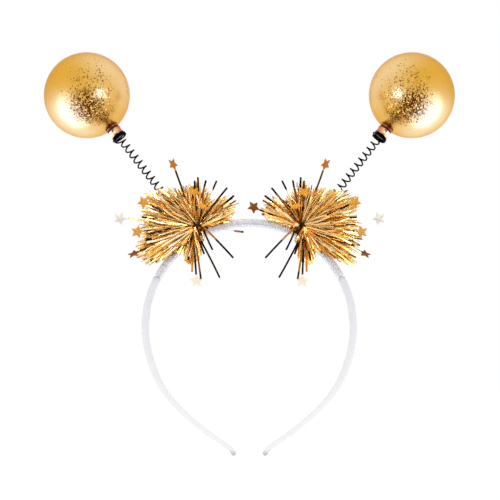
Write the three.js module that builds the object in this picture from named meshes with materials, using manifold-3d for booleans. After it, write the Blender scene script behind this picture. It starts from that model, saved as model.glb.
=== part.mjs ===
// A head bopper: a headband that carries two hollow gold balls on springs, each spring rising out of a
// burst of foil strips and stars. Millimetres and degrees, +Z up, the front faces -Y. The origin is the
// middle of the wrapped band's inner face at the crown, where it rests on a head.

import * as THREE from "three";
import { mergeVertices } from "three/addons/utils/BufferGeometryUtils.js";
import Module from "manifold-3d";

// The clearance between two pieces that touch on the real thing
const GAP = 0.3;

// Headband
const BAND_RADIUS = 62.4; // centreline of the round upper half
const BAND_DROP = 77.2; // from the widest place down to the ends
const BAND_THICKNESS = 4.5;
const BAND_WIDTH = 10; // front to back at the crown
const BAND_END_THICKNESS = 3.2;
const BAND_END_WIDTH = 6.5;
const SHOULDER_LENGTH = 0.8; // where the band thickens beside the wrap
const SECTION_SQUARENESS = 0.7; // 1 for an oval section, less for a squarer one
const TIP_TURN = 80; // how far round the rounded end is followed

// Glitter wrap
const WRAP_WALL = 1;
const WRAP_ANGLE = 61; // from the crown round to each end of the wrap

// Spring
const BOPPER_ANGLE = 30.6; // from the crown round to each foot
const LEAN_OUT = 38; // from upright, to the side
const LEAN_BACK = 14;
const SPRING_LENGTH = 76.6;
const SPRING_DIAMETER = 5.3;
const SPRING_PITCH = 4.25;
const SPRING_WIRE = 0.75;
const FOOT_TURNS = 1.5;
const END_TURNS = 1.5;
const END_DIAMETER = 9.6;
const WIDENING_TURNS = 0.5;
const CLOSED_PITCH = 0.95;

// Ball and ferrule
const BALL_DIAMETER = 52.5;
const BALL_WALL = 0.8;
const NECK_DIAMETER = 5.8;
const NECK_BORE = 3;
const NECK_LENGTH = 3.2;
const FERRULE_DIAMETER = 8.8;
const FERRULE_LENGTH = 6.4;
const BEAD_DROP = 2.6; // middle of the ferrule's bead below its top
const RIM_WIDTH = 0.3;
const RIM_HEIGHT = 0.7;
const RIM_FOOT = 1; // height of a rim with its slope down to the waist

// Tinsel burst
const BURST_REACH = 38.4; // longest strip, seen from the front
const BURST_DEPTH = 29; // longest strip to the front or back
const KNOT_OFFSET = 3.4; // degrees round the band from the spring's foot to the knot, towards the crown
const KNOT_RISE = 4.6; // middle of the knot above the band's centreline
const KNOT_LENGTH = 13; // along the band
const KNOT_WIDTH = 18; // front to back
const KNOT_HEIGHT = 16.5;
const STRIP_COUNT = 104; // directions tried round the knot
const STRIP_WIDTH = 2.3;
const STRIP_THICKNESS = 0.5;
const STRAND_WIDTH = 1;
const LENGTH_SPREAD = 0.14; // how much shorter a strip may be than its reach
const ROOT_DEPTH = 0.42; // a strip's root from the knot's middle, as a share of the knot's size

// Stars
const STAR_DIAMETER = 8.4;
const STAR_THICKNESS = 0.5;
const STAR_POINTS = 5;
const STAR_WAIST = 0.5; // inner corners as a share of the outer radius

// The band below its widest place: shares of BAND_RADIUS out and of BAND_DROP down
const LOWER_RUN = [
  { out: 0.984, down: 0.15 },
  { out: 0.938, down: 0.29 },
  { out: 0.874, down: 0.42 },
  { out: 0.78, down: 0.54 },
  { out: 0.641, down: 0.662 },
  { out: 0.462, down: 0.787 },
  { out: 0.285, down: 0.89 },
  { out: 0.205, down: 0.935 },
  { out: 0.163, down: 0.965 },
  { out: 0.143, down: 1 },
];

// How far the strips reach, seen from the front: the bearing turns from level inwards, over the top and
// outwards to straight down, and the reach is a share of BURST_REACH
const BURST_OUTLINE = [
  { bearing: -5, reach: 0.19 },
  { bearing: 10, reach: 0.35 },
  { bearing: 16, reach: 0.58 },
  { bearing: 28, reach: 0.69 },
  { bearing: 45, reach: 0.66 },
  { bearing: 60, reach: 0.6 },
  { bearing: 68, reach: 0.5 },
  { bearing: 80, reach: 0.6 },
  { bearing: 95, reach: 0.69 },
  { bearing: 115, reach: 0.7 },
  { bearing: 128, reach: 0.79 },
  { bearing: 140, reach: 0.9 },
  { bearing: 165, reach: 0.95 },
  { bearing: 175, reach: 0.91 },
  { bearing: 190, reach: 0.97 },
  { bearing: 218, reach: 1 },
  { bearing: 226, reach: 0.82 },
  { bearing: 234, reach: 0.64 },
  { bearing: 245, reach: 0.48 },
  { bearing: 262, reach: 0.58 },
  { bearing: 275, reach: 0.53 },
  { bearing: 290, reach: 0.26 },
  { bearing: 300, reach: 0.22 },
];

// The strips that hang down cross in front of the band or behind it, never under it
const HANGING_SLANT = 0.3; // least share of their way that goes to the front or back

// Ends of the loose strands, as shares of BURST_REACH from the knot's middle: outwards, up, to the front
const LOOSE_STRANDS = [
  { out: -0.55, up: -0.45, front: 0.42, sides: "both" },
  { out: -0.34, up: -0.77, front: 0.42, sides: "both" },
  { out: -0.26, up: -0.72, front: 0.55, sides: "both" },
  { out: -0.23, up: -0.34, front: 0.48, sides: "both" },
  { out: -0.12, up: -0.42, front: 0.66, sides: "both" },
  { out: 0.09, up: -0.7, front: 0.36, sides: "both" },
  { out: 0.15, up: -0.5, front: 0.4, sides: "both" },
  { out: -0.7, up: -0.05, front: 0.62, sides: "left" },
];

// The knot from end to end: shares of half its length along and of its width and height
const KNOT_PROFILE = [
  { along: -1, size: 0.8 },
  { along: -0.6, size: 1 },
  { along: 0.6, size: 1 },
  { along: 1, size: 0.8 },
];

// Middles of the stars, in the same shares; turn spins a star about the strip that carries it
const STARS = [
  { out: 0.39, up: 0.98, front: 0.12, turn: 50, sides: "both" },
  { out: 0.84, up: 0.39, front: 0.3, turn: 0, sides: "both" },
  { out: 1.22, up: 0.14, front: 0.08, turn: 0, sides: "both" },
  { out: 0.94, up: -0.07, front: 0.3, turn: 15, sides: "both" },
  { out: 1.0, up: -0.41, front: 0.12, turn: 76, sides: "both" },
  { out: 0.05, up: 0.54, front: 0.62, turn: 10, sides: "both" },
  { out: -0.08, up: 0.32, front: 0.78, turn: 0, sides: "both" },
  { out: 0.02, up: -0.83, front: 0.42, turn: 0, sides: "both" },
  { out: -0.73, up: 0.31, front: 0.3, turn: 25, sides: "right" },
];

// Angles from the crown round the band
const WIDEST_ANGLE = 90;
const LEAD_ANGLE = 10; // the lower curve starts this far above the widest place

// How finely round shapes are divided
const BAND_SIDES = 10;
const WRAPPED_STEPS = 8;
const BARE_ARC_STEPS = 3;
const LOWER_STEPS = 12;
const TIP_STEPS = 3;
const BALL_SEGMENTS = 20;
const BALL_RINGS = 9;
const FERRULE_SEGMENTS = 12;
const WIRE_SIDES = 5;
const STEPS_PER_TURN = 7;
const LENGTH_SAMPLES = 6; // for each step along the wire
const BORE_SIDES = 8;
const KNOT_SIDES = 8;
const TUNNEL_STEPS = 4;
const GOLDEN_SHARE = 0.618; // spreads the strips' lengths
const FREE_FROM = 0.2; // the share of a strip past which it has to run clear
const CLEAR_STEP = 0.1;

// Sizes that follow from the ones above
const wrapOffset = GAP + WRAP_WALL;
const bandCentreZ = BAND_THICKNESS / 2 - BAND_RADIUS;
const knotAngle = BOPPER_ANGLE - KNOT_OFFSET;
const ballRadius = BALL_DIAMETER / 2;
const coilRadius = (SPRING_DIAMETER - SPRING_WIRE) / 2;
const endCoilRadius = (END_DIAMETER - SPRING_WIRE) / 2;

const { degToRad, clamp, lerp } = THREE.MathUtils;
const frontward = new THREE.Vector3(0, -1, 0);
const backward = new THREE.Vector3(0, 1, 0);

const wasm = await Module();
wasm.setup();

// Meshes and solids

/** Joins rings of equal size into one closed skin that faces out; a loop joins its last ring to its first. */
function skin(rings, loop = false) {
  const size = rings[0].length;
  const points = rings.flat();
  const faces = [];
  const lastJoint = loop ? rings.length : rings.length - 1;
  for (let r = 0; r < lastJoint; r += 1) {
    const next = (r + 1) % rings.length;
    for (let i = 0; i < size; i += 1) {
      const j = (i + 1) % size;
      const [a, b] = [r * size + i, r * size + j];
      const [c, d] = [next * size + i, next * size + j];
      faces.push([a, b, d], [a, d, c]);
    }
  }
  if (!loop) {
    const end = (rings.length - 1) * size;
    for (let i = 1; i < size - 1; i += 1) {
      faces.push([0, i + 1, i], [end, end + i, end + i + 1]);
    }
  }
  const geometry = new THREE.BufferGeometry().setFromPoints(points);
  geometry.setIndex(faces.flat());
  return signedVolume(geometry) < 0 ? turnedInsideOut(geometry) : geometry;
}

function signedVolume(geometry) {
  const place = geometry.getAttribute("position");
  const index = geometry.getIndex();
  const [a, b, c] = [new THREE.Vector3(), new THREE.Vector3(), new THREE.Vector3()];
  let sum = 0;
  for (let i = 0; i < index.count; i += 3) {
    a.fromBufferAttribute(place, index.getX(i));
    b.fromBufferAttribute(place, index.getX(i + 1));
    c.fromBufferAttribute(place, index.getX(i + 2));
    sum += a.dot(b.cross(c)) / 6;
  }
  return sum;
}

function turnedInsideOut(geometry) {
  const index = geometry.getIndex();
  for (let i = 0; i < index.count; i += 3) {
    const kept = index.getX(i + 1);
    index.setX(i + 1, index.getX(i + 2));
    index.setX(i + 2, kept);
  }
  return geometry;
}

/** The same shape on the other side of the middle. */
function mirrored(geometry) {
  const merged = onlyPositions(geometry);
  merged.applyMatrix4(new THREE.Matrix4().makeScale(-1, 1, 1));
  return turnedInsideOut(merged);
}

function onlyPositions(geometry) {
  const bare = geometry.clone();
  bare.deleteAttribute("normal");
  bare.deleteAttribute("uv");
  return mergeVertices(bare);
}

function toSolid(geometry) {
  const bare = onlyPositions(geometry);
  return new wasm.Manifold(new wasm.Mesh({
    numProp: 3,
    vertProperties: new Float32Array(bare.getAttribute("position").array),
    triVerts: new Uint32Array(bare.getIndex().array),
  }));
}

function toGeometry(solid) {
  const { numProp, vertProperties, triVerts } = solid.getMesh();
  const geometry = new THREE.BufferGeometry();
  geometry.setAttribute("position", new THREE.BufferAttribute(Float32Array.from(vertProperties), numProp));
  geometry.setIndex(new THREE.BufferAttribute(Uint32Array.from(triVerts), 1));
  return geometry;
}

/** A profile of radii and heights, turned about +Z. */
function turned(profile, segments) {
  return new THREE.LatheGeometry(profile, segments).rotateX(Math.PI / 2);
}

/** Leaves out the crumbs that a cut sets free. */
function largestBody(solid) {
  return solid.decompose().reduce((kept, next) => (next.volume() > kept.volume() ? next : kept));
}

function piece(name, geometry, look) {
  const { index } = geometry;
  const shape = index ? geometry : onlyPositions(geometry);
  const mesh = new THREE.Mesh(shape, new THREE.MeshStandardMaterial(look));
  mesh.name = name;
  return mesh;
}

// The band's path

/** A place on the round upper half, seen from its own middle: angle turns from the crown towards +X. */
function arcPlace(angle, radius = BAND_RADIUS) {
  const turn = degToRad(angle);
  const normal = new THREE.Vector3(Math.sin(turn), 0, Math.cos(turn));
  const point = normal.clone().multiplyScalar(radius).add(new THREE.Vector3(0, 0, bandCentreZ));
  return { point, normal };
}

function lowerCurve() {
  const points = LOWER_RUN.map(({ out, down }) =>
    new THREE.Vector3(out * BAND_RADIUS, 0, bandCentreZ - down * BAND_DROP));
  const lead = [WIDEST_ANGLE - LEAD_ANGLE, WIDEST_ANGLE].map((angle) => arcPlace(angle).point);
  return new THREE.CatmullRomCurve3([...lead, ...points], false, "centripetal");
}

/** The band's section narrows evenly from its widest place to its end. */
function sectionAt(share) {
  return {
    thickness: lerp(BAND_THICKNESS, BAND_END_THICKNESS, share),
    width: lerp(BAND_WIDTH, BAND_END_WIDTH, share),
  };
}

/** Places on the half of the band at +X, from the crown to the end. */
function bandStations() {
  const stations = [];
  const under = {
    thickness: BAND_THICKNESS - 2 * wrapOffset,
    width: BAND_WIDTH - 2 * wrapOffset,
  };
  for (let i = 0; i <= WRAPPED_STEPS; i += 1) {
    stations.push({ ...arcPlace((WRAP_ANGLE * i) / WRAPPED_STEPS), ...under });
  }
  const perMillimetre = 180 / (Math.PI * BAND_RADIUS);
  const shoulderStart = WRAP_ANGLE + GAP * perMillimetre;
  const shoulderEnd = shoulderStart + SHOULDER_LENGTH * perMillimetre;
  stations.push({ ...arcPlace(shoulderStart), ...under });
  for (let i = 0; i <= BARE_ARC_STEPS; i += 1) {
    const angle = lerp(shoulderEnd, WIDEST_ANGLE, i / BARE_ARC_STEPS);
    stations.push({ ...arcPlace(angle), ...sectionAt(0) });
  }
  const curve = lowerCurve();
  const length = curve.getLength();
  const start = (BAND_RADIUS * degToRad(LEAD_ANGLE)) / length;
  const roundStart = 1 - BAND_END_THICKNESS / 2 / length;
  for (let i = 1; i <= LOWER_STEPS; i += 1) {
    const along = lerp(start, roundStart, i / LOWER_STEPS);
    stations.push({ ...curvePlace(curve, along), ...sectionAt(i / LOWER_STEPS) });
  }
  for (let i = 1; i <= TIP_STEPS; i += 1) {
    const turn = degToRad((TIP_TURN * i) / TIP_STEPS);
    const section = sectionAt(1);
    const lost = BAND_END_THICKNESS * (1 - Math.cos(turn));
    section.thickness -= lost;
    section.width -= lost;
    stations.push({ ...curvePlace(curve, lerp(roundStart, 1, Math.sin(turn))), ...section });
  }
  return stations;
}

function curvePlace(curve, along) {
  const tangent = curve.getTangentAt(along);
  return { point: curve.getPointAt(along), normal: new THREE.Vector3(-tangent.z, 0, tangent.x) };
}

/** A rounded oblong ring across the band, grown on every side by the given amount. */
function sectionRing({ point, normal, thickness, width }, grown = 0) {
  const ring = [];
  for (let i = 0; i < BAND_SIDES; i += 1) {
    const turn = (2 * Math.PI * (i + 0.5)) / BAND_SIDES;
    const squared = (v) => Math.sign(v) * Math.abs(v) ** SECTION_SQUARENESS;
    const [across, through] = [squared(Math.cos(turn)), squared(Math.sin(turn))];
    const corner = point.clone();
    corner.addScaledVector(normal, through * (thickness / 2 + grown));
    corner.addScaledVector(frontward, across * (width / 2 + grown));
    ring.push(corner);
  }
  return ring;
}

function acrossMiddle({ point, normal, ...section }) {
  const flip = new THREE.Vector3(-1, 1, 1);
  return { point: point.clone().multiply(flip), normal: normal.clone().multiply(flip), ...section };
}

/** The stations of the whole band or of its wrapped stretch, from the end at -X to the end at +X. */
function bothHalves(half) {
  return [...half.slice(1).reverse().map(acrossMiddle), ...half];
}

function headband() {
  const rings = bothHalves(bandStations()).map((station) => sectionRing(station));
  return piece("headband", skin(rings), { color: 0xeceef0, roughness: 0.7, metalness: 0 });
}

function sleeve(stations, innerGrowth, outerGrowth) {
  const outer = stations.map((station) => sectionRing(station, outerGrowth));
  const inner = stations.map((station) => sectionRing(station, innerGrowth));
  return skin([...outer, ...inner.reverse()], true);
}

function glitterWrap() {
  const stations = bothHalves(bandStations().slice(0, WRAPPED_STEPS + 1));
  const tube = sleeve(stations, GAP, wrapOffset);
  return piece("glitter_wrap", tube, { color: 0xd6d9e2, roughness: 0.4, metalness: 0.3 });
}

// The bopper, in a frame of its own: local +Z runs up the spring from its foot

function leanDirection() {
  const [out, back] = [degToRad(LEAN_OUT), degToRad(LEAN_BACK)];
  return new THREE.Vector3(
    Math.sin(out) * Math.cos(back),
    Math.sin(back),
    Math.cos(out) * Math.cos(back),
  );
}

/** The foot stands clear of the wrap, also where its low edge leans towards it. */
function footPlace() {
  const seat = arcPlace(BOPPER_ANGLE, BAND_RADIUS + BAND_THICKNESS / 2);
  const lean = leanDirection().angleTo(seat.normal);
  const lift = GAP + (SPRING_DIAMETER / 2) * Math.tan(lean) + SPRING_WIRE / 2;
  return seat.point.addScaledVector(leanDirection(), lift);
}

/** The wire: closed turns at the foot, open turns, then wide closed turns round the ferrule's stub. */
class SpringCurve extends THREE.Curve {
  constructor() {
    super();
    this.footHeight = FOOT_TURNS * CLOSED_PITCH;
    this.endHeight = END_TURNS * CLOSED_PITCH;
    const open = SPRING_LENGTH - this.footHeight - this.endHeight - SPRING_WIRE;
    this.openTurns = open / SPRING_PITCH;
    this.turns = FOOT_TURNS + this.openTurns + END_TURNS;
    this.arcLengthDivisions = Math.ceil(this.turns * STEPS_PER_TURN * LENGTH_SAMPLES);
  }

  getPoint(t, target = new THREE.Vector3()) {
    const turn = t * this.turns;
    const foot = Math.min(turn, FOOT_TURNS);
    const open = clamp(turn - FOOT_TURNS, 0, this.openTurns);
    const end = Math.max(turn - FOOT_TURNS - this.openTurns, 0);
    const height = (foot + end) * CLOSED_PITCH + open * SPRING_PITCH;
    const widening = clamp((turn - this.turns + END_TURNS) / WIDENING_TURNS + 1, 0, 1);
    const radius = lerp(coilRadius, endCoilRadius, widening);
    const angle = 2 * Math.PI * turn;
    return target.set(radius * Math.cos(angle), radius * Math.sin(angle), height + SPRING_WIRE / 2);
  }
}

function spring(name, side) {
  const path = new SpringCurve();
  const section = new THREE.Shape(
    Array.from({ length: WIRE_SIDES }, (_, i) => {
      const turn = (2 * Math.PI * i) / WIRE_SIDES;
      return new THREE.Vector2(Math.cos(turn), Math.sin(turn)).multiplyScalar(SPRING_WIRE / 2);
    }),
  );
  const steps = Math.round(path.turns * STEPS_PER_TURN);
  const wire = new THREE.ExtrudeGeometry(section, { steps, extrudePath: path, bevelEnabled: false });
  return piece(name, side > 0 ? mirrored(wire) : wire, { color: 0x17181c, roughness: 0.35, metalness: 0.8 });
}

/** The ball's middle, above the foot: its surface stands clear of the ferrule's upper rim. */
function ballHeight() {
  const rim = FERRULE_DIAMETER / 2;
  return ferruleTop() + Math.sqrt((ballRadius + GAP) ** 2 - rim ** 2);
}

function ferruleTop() {
  return SPRING_LENGTH + GAP + FERRULE_LENGTH;
}

/** A cap with two rims and a bead, dished to the ball, with a neck socket and a stub for the spring. */
function ferrule(name) {
  const outer = FERRULE_DIAMETER / 2;
  const waist = outer - RIM_WIDTH;
  const stub = endCoilRadius - SPRING_WIRE / 2 - GAP;
  const bottom = SPRING_LENGTH + GAP;
  const stubBottom = bottom - END_TURNS * CLOSED_PITCH;
  const top = ferruleTop();
  const socket = NECK_DIAMETER / 2 + GAP;
  const middle = ballHeight();
  const dish = (radius) => middle - Math.sqrt((ballRadius + GAP) ** 2 - radius ** 2);
  const socketFloor = neckEnd() - GAP;
  const bead = top - BEAD_DROP;
  const profile = [
    [0, stubBottom],
    [stub, stubBottom],
    [stub, bottom],
    [outer, bottom],
    [outer, bottom + RIM_HEIGHT],
    [waist, bottom + RIM_FOOT],
    [waist, bead - RIM_HEIGHT],
    [outer, bead],
    [waist, bead + RIM_HEIGHT],
    [waist, top - RIM_FOOT],
    [outer, top - RIM_HEIGHT],
    [outer, top],
    [socket, dish(socket)],
    [socket, socketFloor],
    [0, socketFloor],
  ].map(([radius, height]) => new THREE.Vector2(radius, height));
  const cap = turned(profile, FERRULE_SEGMENTS);
  return piece(name, cap, { color: 0xd99a55, roughness: 0.2, metalness: 1 });
}

function neckEnd() {
  return ballHeight() - ballRadius - NECK_LENGTH;
}

/** A thin shell with a neck, open at the neck's end. */
function ball(name) {
  const middle = ballHeight();
  const neck = NECK_DIAMETER / 2;
  const bore = NECK_BORE / 2;
  const arc = (radius, opening, rings) => {
    const start = Math.asin(opening / radius);
    return Array.from({ length: rings + 1 }, (_, i) => {
      const turn = lerp(start, Math.PI, i / rings);
      const out = i < rings ? radius * Math.sin(turn) : 0;
      return new THREE.Vector2(out, middle - radius * Math.cos(turn));
    });
  };
  const profile = [
    ...arc(ballRadius - BALL_WALL, bore, BALL_RINGS).reverse(),
    new THREE.Vector2(bore, neckEnd()),
    new THREE.Vector2(neck, neckEnd()),
    ...arc(ballRadius, neck, BALL_RINGS),
  ];
  const shell = turned(profile, BALL_SEGMENTS);
  return piece(name, shell, { color: 0xdcaa50, roughness: 0.35, metalness: 0.9 });
}

function bopper(label, side) {
  const group = new THREE.Group();
  const flip = new THREE.Vector3(side, 1, 1);
  group.position.copy(footPlace().multiply(flip));
  group.quaternion.setFromUnitVectors(new THREE.Vector3(0, 0, 1), leanDirection().multiply(flip));
  group.add(spring(`spring_${label}`, side), ferrule(`ferrule_${label}`), ball(`ball_${label}`));
  return group;
}

// The burst, worked out for the side at +X and mirrored for the other

function burstMiddle() {
  return arcPlace(knotAngle, BAND_RADIUS + KNOT_RISE);
}

/** A point given in shares of the reach from the knot's middle. */
function fromKnot({ out, up, front }) {
  const offset = new THREE.Vector3(out, -front, up).multiplyScalar(BURST_REACH);
  return burstMiddle().point.add(offset);
}

function belongsTo(side) {
  const label = side < 0 ? "left" : "right";
  return ({ sides }) => sides === "both" || sides === label;
}

/** The longest strip at a bearing, seen from the front; nothing grows past the outline's two ends. */
function reachAt(bearing) {
  const next = BURST_OUTLINE.findIndex((row) => row.bearing >= bearing);
  if (next < 1) return 0;
  const [from, to] = [BURST_OUTLINE[next - 1], BURST_OUTLINE[next]];
  const share = (bearing - from.bearing) / (to.bearing - from.bearing);
  return BURST_REACH * lerp(from.reach, to.reach, share);
}

/** A creased strip along a line, with a low ridge in its middle. */
function strip(line, width, roll = 0) {
  const along = line.delta(new THREE.Vector3()).normalize();
  const level = backward.clone().cross(along).normalize().applyAxisAngle(along, roll);
  const through = along.clone().cross(level);
  const ring = (point) => [
    point.clone().addScaledVector(level, width / 2),
    point.clone().addScaledVector(level, -width / 2),
    point.clone().addScaledVector(through, STRIP_THICKNESS),
  ];
  return skin([ring(line.start), ring(line.end)]);
}

/** Whether a strip leaves the knot towards the band's inner side. */
function hangs(direction) {
  return direction.dot(burstMiddle().normal) < 0;
}

/** The root of a strip, in the knot's wall on the side that the strip leaves from. */
function rootFor(direction) {
  const { point, normal } = burstMiddle();
  const tangent = new THREE.Vector3(normal.z, 0, -normal.x);
  const along = direction.dot(tangent);
  const away = direction.clone().addScaledVector(tangent, -along);
  if (hangs(direction)) away.set(0, Math.sign(direction.y), 0);
  away.normalize();
  return point
    .addScaledVector(normal, away.dot(normal) * KNOT_HEIGHT * ROOT_DEPTH)
    .addScaledVector(backward, away.y * KNOT_WIDTH * ROOT_DEPTH)
    .addScaledVector(tangent, along * KNOT_LENGTH * ROOT_DEPTH);
}

/** How far a point lies outside the wrapped band, less than nothing inside it. */
function clearOfBand(point) {
  const seen = new THREE.Vector2(point.x, point.z - bandCentreZ);
  const through = Math.abs(seen.length() - BAND_RADIUS) - BAND_THICKNESS / 2;
  const across = Math.abs(point.y) - BAND_WIDTH / 2;
  return Math.max(through, across);
}

function clearOfSpring(point) {
  const foot = footPlace();
  const axis = leanDirection();
  const offset = point.clone().sub(foot);
  const along = offset.dot(axis);
  return offset.addScaledVector(axis, -along).length() - SPRING_DIAMETER / 2;
}

/** How far a point lies from the nearest of some strands, each the line between its two ends. */
function clearOfLines(point, lines) {
  const nearest = new THREE.Vector3();
  const distances = lines.map((line) => line.closestPointToPoint(point, true, nearest).distanceTo(point));
  return Math.min(...distances);
}

/** Whether a strip stays clear of the band, the spring, the stars and the strands that carry them. */
function runsClear(root, tip, strands, starMiddles) {
  const room = STRIP_WIDTH / 2 + 2 * GAP;
  for (let share = FREE_FROM; share <= 1; share += CLEAR_STEP) {
    const point = root.clone().lerp(tip, share);
    const fromStar = Math.min(...starMiddles.map((middle) => middle.distanceTo(point))) - STAR_DIAMETER / 2;
    const fromStrand = clearOfLines(point, strands) - STRAND_WIDTH / 2;
    const clear = Math.min(clearOfBand(point), clearOfSpring(point), fromStar, fromStrand);
    if (clear < room) return false;
  }
  return true;
}

/** Directions spread evenly over a ball by the golden angle. */
function evenDirection(index, count) {
  const golden = Math.PI * (3 - Math.sqrt(5));
  const depth = 1 - (2 * (index + 0.5)) / count;
  const level = Math.sqrt(1 - depth * depth);
  return new THREE.Vector3(level * Math.cos(golden * index), depth, level * Math.sin(golden * index));
}

function denseStrips(strands, starMiddles) {
  const strips = [];
  for (let i = 0; i < STRIP_COUNT; i += 1) {
    const direction = evenDirection(i, STRIP_COUNT);
    const seen = THREE.MathUtils.radToDeg(Math.atan2(direction.z, -direction.x));
    const bearing = seen < BURST_OUTLINE[0].bearing ? seen + 360 : seen;
    const reach = reachAt(bearing);
    if (reach === 0) continue;
    if (hangs(direction)) {
      direction.y = Math.sign(direction.y) * Math.max(Math.abs(direction.y), HANGING_SLANT);
      direction.normalize();
    }
    const level = Math.hypot(direction.x, direction.z);
    const shorter = 1 - LENGTH_SPREAD * ((i * GOLDEN_SHARE) % 1);
    const length = shorter / Math.hypot(level / reach, direction.y / BURST_DEPTH);
    const root = rootFor(direction);
    const tip = burstMiddle().point.addScaledVector(direction, length);
    if (!runsClear(root, tip, strands, starMiddles)) continue;
    strips.push(strip(new THREE.Line3(root, tip), STRIP_WIDTH, i));
  }
  return strips;
}

/** The line of a thin strand from the knot's wall to a point. */
function strandLine(tip) {
  const direction = tip.clone().sub(burstMiddle().point).normalize();
  return new THREE.Line3(rootFor(direction), tip);
}

/** The line of a star's strand, which ends the gap away from the star's nearest point. */
function stemLine(star) {
  const line = strandLine(fromKnot(star));
  const whole = line.distance();
  line.at(1 - (STAR_DIAMETER / 2 + GAP) / whole, line.end);
  return line;
}

/** The foil wound round the band: a barrel along it. */
function knot() {
  const { point, normal } = burstMiddle();
  const tangent = new THREE.Vector3(normal.z, 0, -normal.x);
  const rings = KNOT_PROFILE.map(({ along, size }) =>
    Array.from({ length: KNOT_SIDES }, (_, i) => {
      const turn = (2 * Math.PI * i) / KNOT_SIDES;
      return point.clone()
        .addScaledVector(tangent, (along * KNOT_LENGTH) / 2)
        .addScaledVector(normal, (Math.cos(turn) * size * KNOT_HEIGHT) / 2)
        .addScaledVector(backward, (Math.sin(turn) * size * KNOT_WIDTH) / 2);
    }));
  return skin(rings);
}

function bandTunnel() {
  const spread = THREE.MathUtils.radToDeg(KNOT_LENGTH / BAND_RADIUS);
  const stations = Array.from({ length: TUNNEL_STEPS + 1 }, (_, i) => ({
    ...arcPlace(knotAngle + spread * ((2 * i) / TUNNEL_STEPS - 1)),
    thickness: BAND_THICKNESS,
    width: BAND_WIDTH,
  }));
  return skin(stations.map((station) => sectionRing(station, GAP)));
}

function springBore() {
  const radius = SPRING_DIAMETER / 2 + GAP;
  const bore = new THREE.CylinderGeometry(radius, radius, KNOT_HEIGHT * 2, BORE_SIDES);
  const turn = new THREE.Quaternion().setFromUnitVectors(new THREE.Vector3(0, 1, 0), leanDirection());
  const middle = footPlace().addScaledVector(leanDirection(), KNOT_HEIGHT - SPRING_WIRE);
  return bore.applyQuaternion(turn).translate(middle.x, middle.y, middle.z);
}

function tinselBurst(label, side) {
  const mine = belongsTo(side);
  const starRows = STARS.filter(mine);
  const looseLines = LOOSE_STRANDS.filter(mine).map((row) => strandLine(fromKnot(row)));
  const strands = [...looseLines, ...starRows.map(stemLine)];
  const strips = denseStrips(strands, starRows.map(fromKnot));
  const grown = [...strips, ...strands.map((line) => strip(line, STRAND_WIDTH))];
  const whole = grown.reduce((solid, next) => solid.add(toSolid(next)), toSolid(knot()));
  const opened = whole.subtract(toSolid(bandTunnel())).subtract(toSolid(springBore()));
  const burst = toGeometry(largestBody(opened));
  return piece(`tinsel_burst_${label}`, side < 0 ? mirrored(burst) : burst, {
    color: 0xd9a441,
    roughness: 0.3,
    metalness: 0.9,
  });
}

// Stars

function starOutline() {
  const corners = 2 * STAR_POINTS;
  return new THREE.Shape(Array.from({ length: corners }, (_, i) => {
    const radius = (STAR_DIAMETER / 2) * (i % 2 ? STAR_WAIST : 1);
    const turn = Math.PI + (2 * Math.PI * i) / corners;
    return new THREE.Vector2(radius * Math.cos(turn), radius * Math.sin(turn));
  }));
}

/** A flat star with one point towards the strip that carries it. */
function star(name, row, side) {
  const plate = new THREE.ExtrudeGeometry(starOutline(), { depth: STAR_THICKNESS, bevelEnabled: false });
  plate.translate(0, 0, -STAR_THICKNESS / 2);
  const flip = new THREE.Vector3(side, 1, 1);
  const along = stemLine(row).delta(new THREE.Vector3()).normalize().multiply(flip);
  const face = frontward.clone().addScaledVector(along, -frontward.dot(along)).normalize();
  face.applyAxisAngle(along, degToRad(row.turn * side));
  const frame = new THREE.Matrix4().makeBasis(along, face.clone().cross(along), face);
  const mesh = piece(name, plate, { color: 0xe29a35, roughness: 0.25, metalness: 0.9 });
  mesh.position.copy(fromKnot(row).multiply(flip));
  mesh.quaternion.setFromRotationMatrix(frame);
  return mesh;
}

function stars(label, side) {
  const group = new THREE.Group();
  STARS.filter(belongsTo(side)).forEach((row, i) => group.add(star(`star_${label}_${i + 1}`, row, side)));
  return group;
}

const headBopper = new THREE.Group();
headBopper.add(headband(), glitterWrap());
for (const [label, side] of [["left", -1], ["right", 1]]) {
  headBopper.add(bopper(label, side), tinselBurst(label, side), stars(label, side));
}

export default headBopper;
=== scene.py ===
"""The looks of a head bopper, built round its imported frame.

A narrow cloth headband with a glitter wrap over its crown carries two gold glitter balls on black
coil springs. Each spring rises out of a burst of foil strips and small foil stars. Lengths in the
classes are millimetres and angles degrees; meshes are made in metres.
"""

import logging
import math
from dataclasses import dataclass, field
from enum import Enum
from typing import Callable, Iterator, NamedTuple, Sequence

import bmesh
import bpy
import numpy as np
from mathutils import Matrix, Vector, noise


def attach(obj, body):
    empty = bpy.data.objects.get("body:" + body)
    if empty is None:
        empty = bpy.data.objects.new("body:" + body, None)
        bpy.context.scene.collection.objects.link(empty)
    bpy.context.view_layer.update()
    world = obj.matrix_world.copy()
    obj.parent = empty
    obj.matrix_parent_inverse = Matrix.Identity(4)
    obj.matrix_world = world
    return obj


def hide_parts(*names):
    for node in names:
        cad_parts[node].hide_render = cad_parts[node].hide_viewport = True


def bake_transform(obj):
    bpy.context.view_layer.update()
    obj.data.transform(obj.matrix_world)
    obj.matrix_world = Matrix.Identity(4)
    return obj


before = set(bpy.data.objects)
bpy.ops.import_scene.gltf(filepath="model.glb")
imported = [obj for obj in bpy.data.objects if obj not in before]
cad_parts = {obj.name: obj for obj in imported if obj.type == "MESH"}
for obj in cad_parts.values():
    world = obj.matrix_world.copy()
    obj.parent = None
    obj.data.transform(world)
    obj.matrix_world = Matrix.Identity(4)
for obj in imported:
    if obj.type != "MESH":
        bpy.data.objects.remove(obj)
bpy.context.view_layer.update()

LOG = logging.getLogger("head_bopper")
MM = 0.001
UP = np.array((0.0, 0.0, 1.0))
BACK = np.array((0.0, 1.0, 0.0))
FRONT = -BACK
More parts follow.
